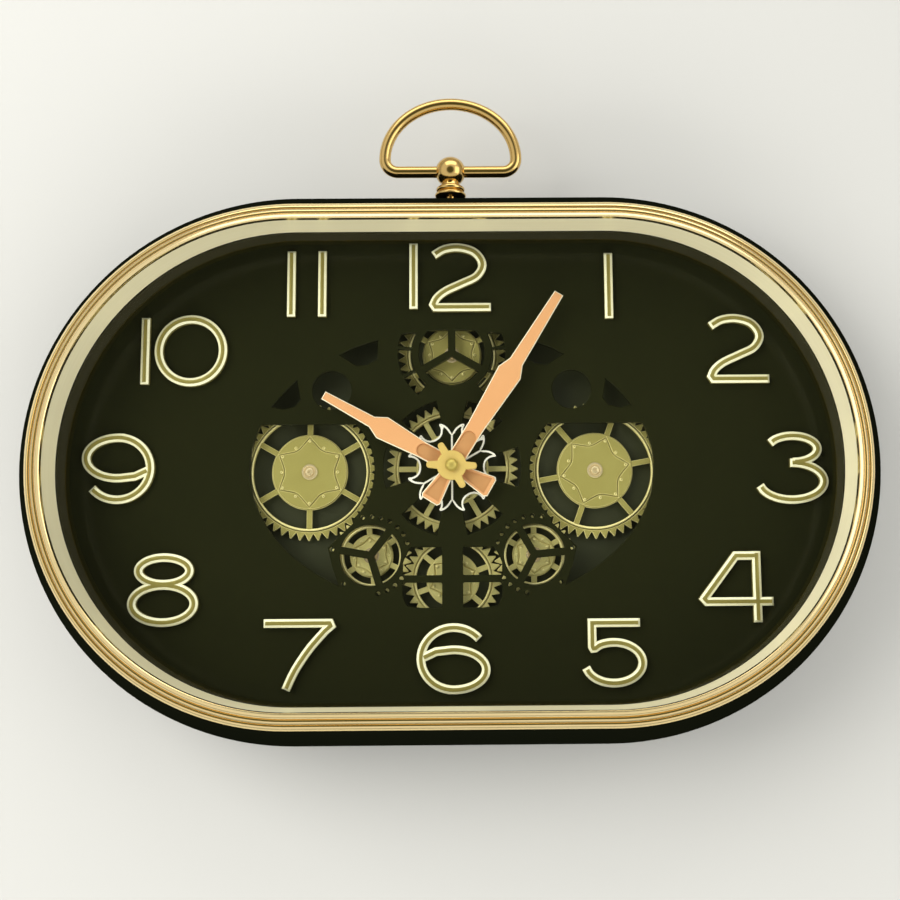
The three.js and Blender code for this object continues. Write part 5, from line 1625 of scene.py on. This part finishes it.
@dataclass
class Numerals(SubAssembly):
    """Gold digits with bevelled rims: a painted highlight on the rims, painted shade on the flats and flanks.
    """

    level: float = 35.5  # level of the digits' feet
    section: tuple[Point, ...] = (  # right half of a stroke's section
        (2.25, 0), (2.25, 2.45), (2.15, 2.78), (1.1, 3.3), (0.98, 3.36),
    )
    end: float = 1.0  # how far the bevel runs in at the end of a stroke
    spots: tuple[tuple[str, int, int, float, float, float], ...] = (
        # Name, digit, round end, distance in from the edge of the face, angle there and shift to the right
        ("12_ten", 1, 0, 19, 90, -20.3),
        ("12_unit", 2, 0, 20.1, 90, 5.1),
        ("1", 1, 1, 24.7, 87.1, -0.3),
        ("2", 2, 1, 26.2, 40.4, 0),
        ("3", 3, 1, 23.5, -0.9, -0.4),
        ("4", 4, 1, 28.7, -43.4, 0),
        ("5", 5, 1, 24.8, -88, 0),
        ("6", 6, 0, 22.4, -90, 0.3),
        ("7", 7, -1, 25.2, -90.4, 0.6),
        ("8", 8, -1, 27.6, -41.6, 0),
        ("9", 9, -1, 25.6, 0, 1.2),
        ("10_ten", 1, -1, 27.4, 41.7, -12.2),
        ("10_unit", 0, -1, 27.4, 41.7, 12.1),
        ("11_ten", 1, -1, 22.9, 91.4, -8.3),
        ("11_unit", 1, -1, 22.9, 91.4, 8.3),
    )

    def build(self) -> dict[str, Piece]:
        """Models the fifteen digits in their places.

        Returns:
            Pieces by their CAD nodes.
        """
        pieces = {}
        for name, digit, end, inset, degrees, shift in self.spots:
            x, y = polar(self.face - inset, degrees)
            x = end * (self.straight / 2 + x) + shift
            pieces[f"numeral_{name}"] = Bench.placed(self.digit(digit), x, y, self.level)
        return pieces

    def detail(self, node: str, piece: Piece) -> None:
        """Gives a digit painted shade on its flat top and flanks and a painted highlight on its bevelled
        rims.
        """
        Wardrobe.coat(piece, NUMERAL_PAINTED_SHADE)
        Wardrobe.edge(piece, NUMERAL_PAINTED_HIGHLIGHT, *SLOPE)

    def stroke(self, route: Sequence[Point], closed: bool) -> Piece:
        """Sweeps the section along a route, with mitred corners and bevelled ends.

        Args:
            route: Points along the middle of the stroke.
            closed: Whether the stroke is a loop.

        Returns:
            The stroke.
        """
        section = [*self.section, *[(-x, z) for x, z in reversed(self.section)]]
        points = [Vector(p) for p in route]
        if not closed:
            points = self.bevelled(points)
        count = len(points)
        sections = []
        for i, point in enumerate(points):
            before = points[i - 1] if closed or i else None
            after = points[(i + 1) % count] if closed or i < count - 1 else None
            arriving = (point - before).normalized() if before else (after - point).normalized()
            leaving = (after - point).normalized() if after else arriving
            along = (arriving + leaving).normalized()
            across = Vector((along.y, -along.x)) * (1 / along.dot(arriving))
            top = math.inf if before and after else self.section[1][1]
            sections.append([(*(point + across * x), min(z, top)) for x, z in section])
        return Bench.skinned(sections, closed)

    def bevelled(self, points: list[Vector]) -> list[Vector]:
        """Adds the points near both ends of a route where the end bevel reaches the top.

        Args:
            points: Points of the route.

        Returns:
            The route with those points.
        """
        head, tail = points[0], points[-1]
        inner = [p for p in points[1:-1] if min((p - head).length, (p - tail).length) > 1.4 * self.end]
        first = ((inner[0] if inner else tail) - head).normalized()
        last = (tail - (inner[-1] if inner else head)).normalized()
        return [head, head + first * self.end, *inner, tail - last * self.end, tail]

    def digit(self, value: int) -> Piece:
        """Models one digit about its middle.

        Args:
            value: Digit from 0 to 9.

        Returns:
            The digit, standing on its feet.
        """
        first, *others = [self.stroke(route, value in (0, 8)) for route in self.routes(value)]
        for other in others:
            Bench.carved(first, other, Trade.FUSE)
        return Bench.placed(first, 0, 0, 0, 180) if value == 9 else first

    def routes(self, value: int) -> list[Loop]:
        """Lays out the strokes of a digit.

        Args:
            value: Digit from 0 to 9. The strokes of a 9 stand upside down.

        Returns:
            Points along the middle of each stroke.
        """
        curl = [
            (-14.5, 12.6), (-8.6, 16), (-0.5, 16.8), (7.7, 14), (11.7, 7.4), (8.6, 1), (0.8, -3), (-8, -7.1),
            (-12.8, -11), (-14.7, -14.6),
        ]
        bar = [(13.9, 15.6), (-11.1, 15.6), (-11.1, 3.4), (-10.6, 2.5), (-9.6, 2.6)]
        leg = [(12.6, 12.2), (4.7, 3.2), (-2.7, -7.8), (-7.4, -17.8)]
        head, brow, foot = 16.2, 4.8, -16.7 if value == 9 else -15.6
        half, low = (head - foot) / 2, (brow - foot) / 2
        bowl = [(-3, foot + 0.1), *arc(0.3, brow - low, 16.7, low, -90, 95, CURVE), (-9, 3.9), (-16.2, 0.6)]
        six = [arc(0.2, head - half, 17, half, 39, 270, CURVE), bowl]
        return {
            0: [ellipse(0, 0, 17.1, 17.1, CURVE)],
            1: [[(0, -18), (0, 18)]],
            2: [[*flowing(curl, 44), (-13.6, -16.2), (16.1, -16.2)]],
            3: [
                [*arc(1.8, 9.9, 13.2, 7, 153, -80, CURVE), (1.6, 2.9)],
                [(0.2, 2.5), *arc(0.7, -7.3, 17.2, 9.8, 82, -167, CURVE)],
            ],
            4: [
                [(10.8, 16.6), (0, 16.6), (-17, -5.6), (-15.6, -7.2), (19.1, -7.2)],
                [(10.8, 18.9), (10.8, -18)],
            ],
            5: [[*bar, *arc(0, -4.9, 14.9, 10.4, 120, -166, CURVE)]],
            6: six,
            7: [[(-19.2, 16.2), (15, 16.2), (15.6, 14.8), *flowing(leg, 16)]],
            8: [ellipse(0.5, -7.6, 16.2, 9.6, CURVE), ellipse(0.7, 9.5, 13.3, 6.9, CURVE)],
            9: six,
        }[value]


# Hands


@dataclass(frozen=True)
class Hand:
    """Sizes of a hand."""

    length: float  # tip from the axis
    tip: float  # half width at the tip
    stem: float  # half width of the slim stem at the shoulder
    shoulder: float  # widest place from the axis
    blade: float  # half width there
    root: float  # half width of the blade's root
    tail: float  # length of the tail
    flare: float  # half width of the tail's end
    bore: float  # radius of the bore
    back: float  # level of the rear face
    angle: float  # degrees clockwise from twelve


@dataclass
class Hands(SubAssembly):
    """Both hands with the star washer and the cap nut that close their stack."""

    hour: Hand = Hand(77.7, 2.3, 3.1, 42, 6.3, 4.4, 24, 6, 2.95, 40.9, 299.4)
    minute: Hand = Hand(108.5, 2.6, 3.9, 58, 6.8, 4.6, 22, 5.6, 1.9, 43.5, 32)
    thick: float = 1.1  # thickness of a hand
    chamfer: float = 0.5  # chamfer of a hand's front edges
    collar: float = 2.0  # width of the ring of a hand round its bore
    scoop: float = 20.8  # where the sunk channel of a hand ends, from the axis
    rim: float = 0.9  # rim of a hand beside its channel
    floors: Point = (0.35, 0.45)  # floors of the channel and of the tail's dish, as shares of the thickness
    star: Place = (7.8, 13.2, 4.2)  # inner radius, reach and nub width of the star washer
    star_levels: Point = (44.9, 46.4)  # rear and front of the star washer
    cap: Point = (3.4, 3.0)  # radius and height of the cap nut
    cap_back: float = 46.7  # level of the cap nut's foot
    cap_bore: float = 2.1  # depth of the cap nut's bore
    knurls: int = 28  # notches in the cap nut's foot
    arbor: float = 1.6  # radius of the arbor

    def build(self) -> dict[str, Piece]:
        """Models both hands, the star washer and the cap nut.

        Returns:
            Pieces by their CAD nodes.
        """
        return {
            "hour_hand": self.pointer(self.hour),
            "minute_hand": self.pointer(self.minute),
            "hand_star": self.washer(),
            "cap_nut": self.nut(),
        }

    def detail(self, node: str, piece: Piece) -> None:
        """Gives the hands a painted highlight on their sloping edges and painted shade on the floors of their
        channels and tail dishes.
        """
        hand = {"hour_hand": self.hour, "minute_hand": self.minute}.get(node)
        if hand:
            # Painted highlight on the sloping edges
            Wardrobe.edge(piece, HAND_EDGE_PAINTED_HIGHLIGHT, 0.2, SLOPE[1])
            # Painted shade on the sunk floors of the channel and the tail's dish
            Wardrobe.floor(piece, HAND_HOLLOWS_PAINTED_SHADE, hand.back + 0.8 * self.thick)

    def pointer(self, hand: Hand) -> Piece:
        """Models a hand: a slim stem, a shouldered blade, a sunk channel with a round end and a flared tail.

        Args:
            hand: Its sizes.

        Returns:
            The hand in its place.
        """
        waist = 0.75 * hand.root
        collar = hand.bore + self.collar
        right = [
            (hand.tip, hand.length),
            (hand.stem, hand.shoulder + hand.blade),
            (hand.blade, hand.shoulder),
            (hand.root, hand.shoulder / 2.4),
            (hand.root, collar + 2),
            (waist, collar),
            (waist, -collar - 1),
            (hand.flare, 0.3 * hand.flare - hand.tail),
            (0.8 * hand.flare, -hand.tail),
        ]
        outline = [*right[::-1], *[(-x, y) for x, y in right]]
        pointer = Bench.plate(outline, 0, self.thick, chamfer=self.chamfer)
        Bench.carved(pointer, Bench.plate(circle(0, 0, collar, 40), 0, self.thick), Trade.FUSE)
        half = hand.root - self.rim
        channel = [*arc(0, self.scoop - half, half, half, 0, 180, 9), (-half, collar + 3), (half, collar + 3)]
        dish = [(0.75 * hand.flare, 0.4 * hand.flare - hand.tail), (0.55 * waist, -collar - 2.5)]
        dish += [(-x, y) for x, y in reversed(dish)]
        bore = circle(0, 0, hand.bore, 40)
        for loop, floor in zip((channel, dish, bore), (*self.floors, -1)):
            Bench.carved(pointer, Bench.plate(loop, floor * self.thick, 2 * self.thick))
        return Bench.placed(pointer, 0, 0, hand.back, -hand.angle)

    def washer(self) -> Piece:
        """Models the star washer: a disc with rounded nubs on both sides of the minute hand.

        Returns:
            The washer in its place.
        """
        radius, reach, width = self.star
        end = arc(reach - 1.4, 0, 1.4, 0.42 * width, -90, 90, 15)
        nub = [(radius - 0.4, -0.5 * width), *end, (radius - 0.4, 0.5 * width)]
        loop: Loop = []
        for i in range(6):
            loop += spun(nub, 60 * i) if i % 3 else arc(0, 0, radius, radius, 60 * i - 15, 60 * i + 15, 5)
            loop += arc(0, 0, radius, radius, 60 * i + 20, 60 * i + 40, 5)
        washer = Bench.plate(loop, *self.star_levels, [circle(0, 0, self.arbor + GAP, 24)], 0.3)
        return Bench.placed(washer, 0, 0, 0, 90 - self.minute.angle)

    def nut(self) -> Piece:
        """Models the domed cap nut with a knurled foot.

        Returns:
            The nut in its place.
        """
        radius, height = self.cap
        notch = [(radius, 0), (radius - 0.22, radius * math.sin(math.pi / self.knurls))]
        knurl = [point for i in range(self.knurls) for point in spun(notch, i * 360 / self.knurls)]
        cap = Bench.plate(knurl, 0, 0.5 * height, chamfer=0.15)
        slim = 0.86 * radius
        dome = [(0, 0.4 * height), (slim, 0.4 * height), *arc(0, 0.5 * height, slim, 0.5 * height, 0, 90, 12)]
        Bench.carved(cap, Bench.turned([*dome[:-1], (0, height)], 36), Trade.FUSE)
        Bench.carved(cap, Bench.turned(band(0, self.arbor + GAP, -1, self.cap_bore), 24))
        return Bench.placed(cap, 0, 0, self.cap_back)


# Drive units


@dataclass
class Drives(SubAssembly):
    """Quartz movement for the hands and motor for the gears, with their cells and the setting knob."""

    side: float = 55.9  # side of the movement
    levels: Point = (4.3, 20.4)  # rear and front of both boxes
    corner: float = 3.0  # radius of the boxes' corners
    seam: Place = (12.4, 12.9, 0.4)  # levels and depth of the seam round a box
    motor: Point = (-80.5, -38.9)  # bottom and top of the gear motor
    bay: Point = (25.35, 7.45)  # half length and half height of a cell bay
    bay_top: float = 19.2  # level that a cell bay reaches
    cells: Point = (-17.9, -70.45)  # heights of the two cells
    cell: Point = (7.1, 50.0)  # radius and length of a cell
    button: float = 0.4  # radius of a cell's button, as a share of the cell's
    neck: Point = (4.0, 39.7)  # radius and top of the movement's neck
    thread: Point = (0.78, 0.25)  # pitch and depth of the neck's thread
    pipe: Point = (2.9, 15.1)  # radius of the bore in the neck, and its foot
    arbor: Point = (1.85, 2.0)  # radius of the arbor's bore, and its depth below the pipe's
    knob: Point = (6.0, 2.3)  # radius and height of the setting knob
    knob_place: Point = (-15.0, 15.0)  # place of the setting knob
    stem: float = 1.5  # radius of the stems of the knob and the motor
    play: float = 0.25  # play round a stem

    def build(self) -> dict[str, Piece]:
        """Models both boxes, both cells and the knob.

        Returns:
            Pieces by their CAD nodes.
        """
        half = self.side / 2
        movement = self.necked(self.box(-half, half, self.cells[0]))
        motor = self.box(*self.motor, self.cells[1])
        self.bore(motor, self.stem + self.play, BOTTOM.x, BOTTOM.y, self.pipe[1], 30)
        middle = self.levels[0] + self.bay[1]
        clock_cell, gear_cell = Bench.copies(self.battery(), [(0, y, middle) for y in self.cells])
        return {
            "movement_case": movement,
            "gear_motor": motor,
            "clock_cell": clock_cell,
            "gear_cell": gear_cell,
            "set_knob": self.turner(),
        }

    def box(self, bottom: float, top: float, cell: float) -> Piece:
        """Models a box with rounded edges, a cell bay and a seam.

        Args:
            bottom: Lower edge.
            top: Upper edge.
            cell: Height of its cell.

        Returns:
            The box.
        """
        half = self.side / 2
        low, high = self.levels
        reach, rise = self.bay
        back, front, depth = self.seam

        def outline(out: float) -> Loop:
            """Outlines the box, widened on all sides."""
            return rounded_box(-half - out, half + out, bottom - out, top + out, self.corner)

        box = Bench.softened(Bench.plate(outline(0), low, high), 0.8, 3, 60)
        bay = rounded_box(-reach, reach, cell - rise, cell + rise, 0.6)
        Bench.carved(box, Bench.plate(bay, low - 1, self.bay_top))
        Bench.carved(box, Bench.plate(outline(1), back, front, [outline(-depth)]))
        return Bench.softened(box, 0.18, 1, 60)

    @staticmethod
    def bore(box: Piece, radius: float, x: float, y: float, low: float, high: float) -> None:
        """Bores a round hole in a box."""
        Bench.carved(box, Bench.plate(circle(x, y, radius, 28), low, high))

    def necked(self, box: Piece) -> Piece:
        """Adds the threaded neck to the movement and bores it for the pipe, the arbor and the knob.

        Args:
            box: Box of the movement.

        Returns:
            The movement.
        """
        radius, top = self.neck
        low, high = self.levels
        pitch, depth = self.thread
        thread: Loop = []
        for i in range(24):
            thread += [(radius, high + 0.3 + pitch * i), (radius - depth, high + 0.69 + pitch * i)]
        neck = Bench.turned([(0, high - 1), (radius, high - 1), *thread, (radius - 0.3, top), (0, top)], 28)
        Bench.carved(box, neck, Trade.FUSE)
        pipe, foot = self.pipe
        arbor, drop = self.arbor
        self.bore(box, pipe, 0, 0, foot, 45)
        self.bore(box, arbor, 0, 0, foot - drop, foot + 1)
        self.bore(box, self.stem + self.play, *self.knob_place, 0, low + 3 * self.stem)
        return box

    def battery(self) -> Piece:
        """Models a round cell that lies along x, with its button to the right.

        Returns:
            The cell about its middle.
        """
        radius, length = self.cell
        half = length / 2
        button = self.button * radius
        foot = [(0, 0), (radius - 0.8, 0), (radius - 0.2, 0.2), (radius, 0.8)]
        top = [(radius, 2.6), (radius - 0.35, 1.9), (radius - 1.2, 1.6), (button, 1.6), (button, 0.4)]
        top += [(0.3 * radius, 0), (0, 0)]
        profile = [*[(r, z - half) for r, z in foot], *[(r, half - z) for r, z in top]]
        return Bench.tipped(Bench.turned(profile, 48), 0, 90)

    def turner(self) -> Piece:
        """Models the setting knob with a fluted edge.

        Returns:
            The knob on the rear face of the movement.
        """
        radius, height = self.knob
        top = GAP + height
        flute = [(radius, 0), (radius - 0.1, 0.55), (radius - 0.5, 0.94), (radius - 0.1, 1.33)]
        flutes = [point for i in range(20) for point in spun(flute, 18 * i)]
        knob = Bench.plate(flutes, GAP, top, chamfer=0.35)
        dish = [(0, top - 0.5), (0.6 * radius, top - 0.5), (0.68 * radius, top + 1), (0, top + 1)]
        Bench.carved(knob, Bench.turned(dish, 32))
        stem = Bench.turned(band(0, self.stem, GAP + 0.4, GAP - 3 * self.stem), 24)
        Bench.carved(knob, stem, Trade.FUSE)
        return Bench.placed(Bench.tipped(knob, 180), *self.knob_place, self.levels[0])


# Studio


@dataclass(frozen=True)
class Lamp:
    """A soft lamp that faces the clock."""

    name: str
    place: Place  # place in the row frame, in metres
    size: Point  # width and height in metres
    power: float  # power in watts
    mirrored: bool = True  # whether polished pieces mirror it
    color: Rgb = (255, 253, 249)  # colour of its light

    def hang(self) -> None:
        """Adds the lamp to the scene."""
        bpy.ops.object.light_add(type="AREA", location=self.place)
        lamp = bpy.context.object
        lamp.name = self.name
        lamp.data.shape = "RECTANGLE"
        lamp.data.size, lamp.data.size_y = self.size
        lamp.data.energy = self.power
        lamp.data.color = linear(self.color)[:3]
        lamp.visible_glossy = self.mirrored
        lamp.rotation_euler = (-Vector(self.place)).to_track_quat("-Z", "Y").to_euler()


@dataclass
class Studio:
    """Pale wall behind the clock, soft lamps, a plain room and the camera."""

    wall: Rgb = (188, 188, 184)  # colour of the wall
    room: Point = (0.85, 0.1)  # brightness of the room to the sides, and in front of the clock
    eye: Place = (0.0141, -0.66698, -0.072)  # place of the camera in metres
    shift: float = -0.0428  # sideways shift of its lens as a share of the picture's width
    pitch: float = 0.12776  # its tilt upwards in radians
    yaw: float = 0.00832  # its turn to the right in radians
    roll: float = 0.00792  # its roll in radians
    lens: float = 48.0  # focal length in millimetres
    lamps: tuple[Lamp, ...] = (
        Lamp("key", (-1.25, -1.15, 0.5), (1.4, 1.4), 34, False),
        Lamp("fill", (1.4, -1.1, 0.2), (1.0, 1.4), 6),
        Lamp("top", (0.1, -0.8, 1.35), (1.8, 0.8), 8),
        Lamp("low", (0.2, -0.9, -1.3), (1.8, 0.7), 16, False),
        Lamp("rear", (0.3, 1.4, 0.7), (1.2, 1.0), 22),
    )

    def build(self) -> None:
        """Sets up the wall, the room, the lamps and the camera."""
        self.backdrop()
        self.surroundings()
        for lamp in self.lamps:
            lamp.hang()
        self.camera()
        bpy.context.scene.view_settings.view_transform = "Standard"

    def backdrop(self) -> None:
        """Adds the wall that the clock hangs on."""
        bpy.ops.object.select_all(action="DESELECT")
        bpy.ops.mesh.primitive_plane_add(size=9.0, location=(0, 0.0006, 0), rotation=(math.pi / 2, 0, 0))
        wall = bpy.context.object
        wall.name = "pale_wall"
        wall.data.materials.append(Paint("pale_wall", self.wall).material())

    def surroundings(self) -> None:
        """Gives the room its light: pale behind the clock and to the sides, dim in front of it."""
        world = bpy.data.worlds.new("room")
        bpy.context.scene.world = world
        world.use_nodes = True
        graph = Graph(world.node_tree)
        way = graph.add("ShaderNodeTexCoord", output="Generated")
        ahead = graph.add("ShaderNodeSeparateXYZ", sockets={0: way}, output=1)
        side, front = self.room
        dim = (front, front, 0.55 * front, 1)
        pale, shade = ((level, level, level, 1) for level in (side, 0.45 * side))
        stops = [(0.0, dim), (0.036, dim), (0.075, pale), (0.3, pale), (0.44, shade), (1.0, shade)]
        glow = graph.add("ShaderNodeValToRGB", {"stops": stops}, {0: ahead * 0.5 + 0.5})
        seen = graph.add("ShaderNodeLightPath", output="Is Camera Ray")
        color = graph.blend(seen, glow, linear(self.wall))
        room = graph.add("ShaderNodeBackground", sockets={"Color": color, "Strength": 1.0})
        graph.add("ShaderNodeOutputWorld", sockets={"Surface": room})

    def camera(self) -> None:
        """Adds the camera at the picture's viewing angle."""
        bpy.ops.object.camera_add(location=self.eye)
        camera = bpy.context.object
        camera.data.lens = self.lens
        camera.data.shift_x = self.shift
        camera.data.sensor_width = 36.0
        camera.data.clip_start = 0.01
        turn = Matrix.Rotation(-self.yaw, 4, "Z") @ Matrix.Rotation(math.pi / 2 + self.pitch, 4, "X")
        camera.matrix_world = Matrix.Translation(self.eye) @ turn @ Matrix.Rotation(-self.roll, 4, "Z")
        bpy.context.scene.camera = camera


def main() -> None:
    """Builds the sub-assemblies in order, dresses them and sets up the studio."""
    logging.basicConfig(level=logging.INFO, format="%(name)s: %(message)s")
    wardrobe = Wardrobe()
    for part in (Case(), Rear(), Bow(), GearTrain(), Dial(), Numerals(), Hands(), Drives()):
        part.dress(wardrobe)
    for node in KEPT_NODES:
        wardrobe.paint(node)
    Studio().build()


if __name__ == "__main__":
    main()
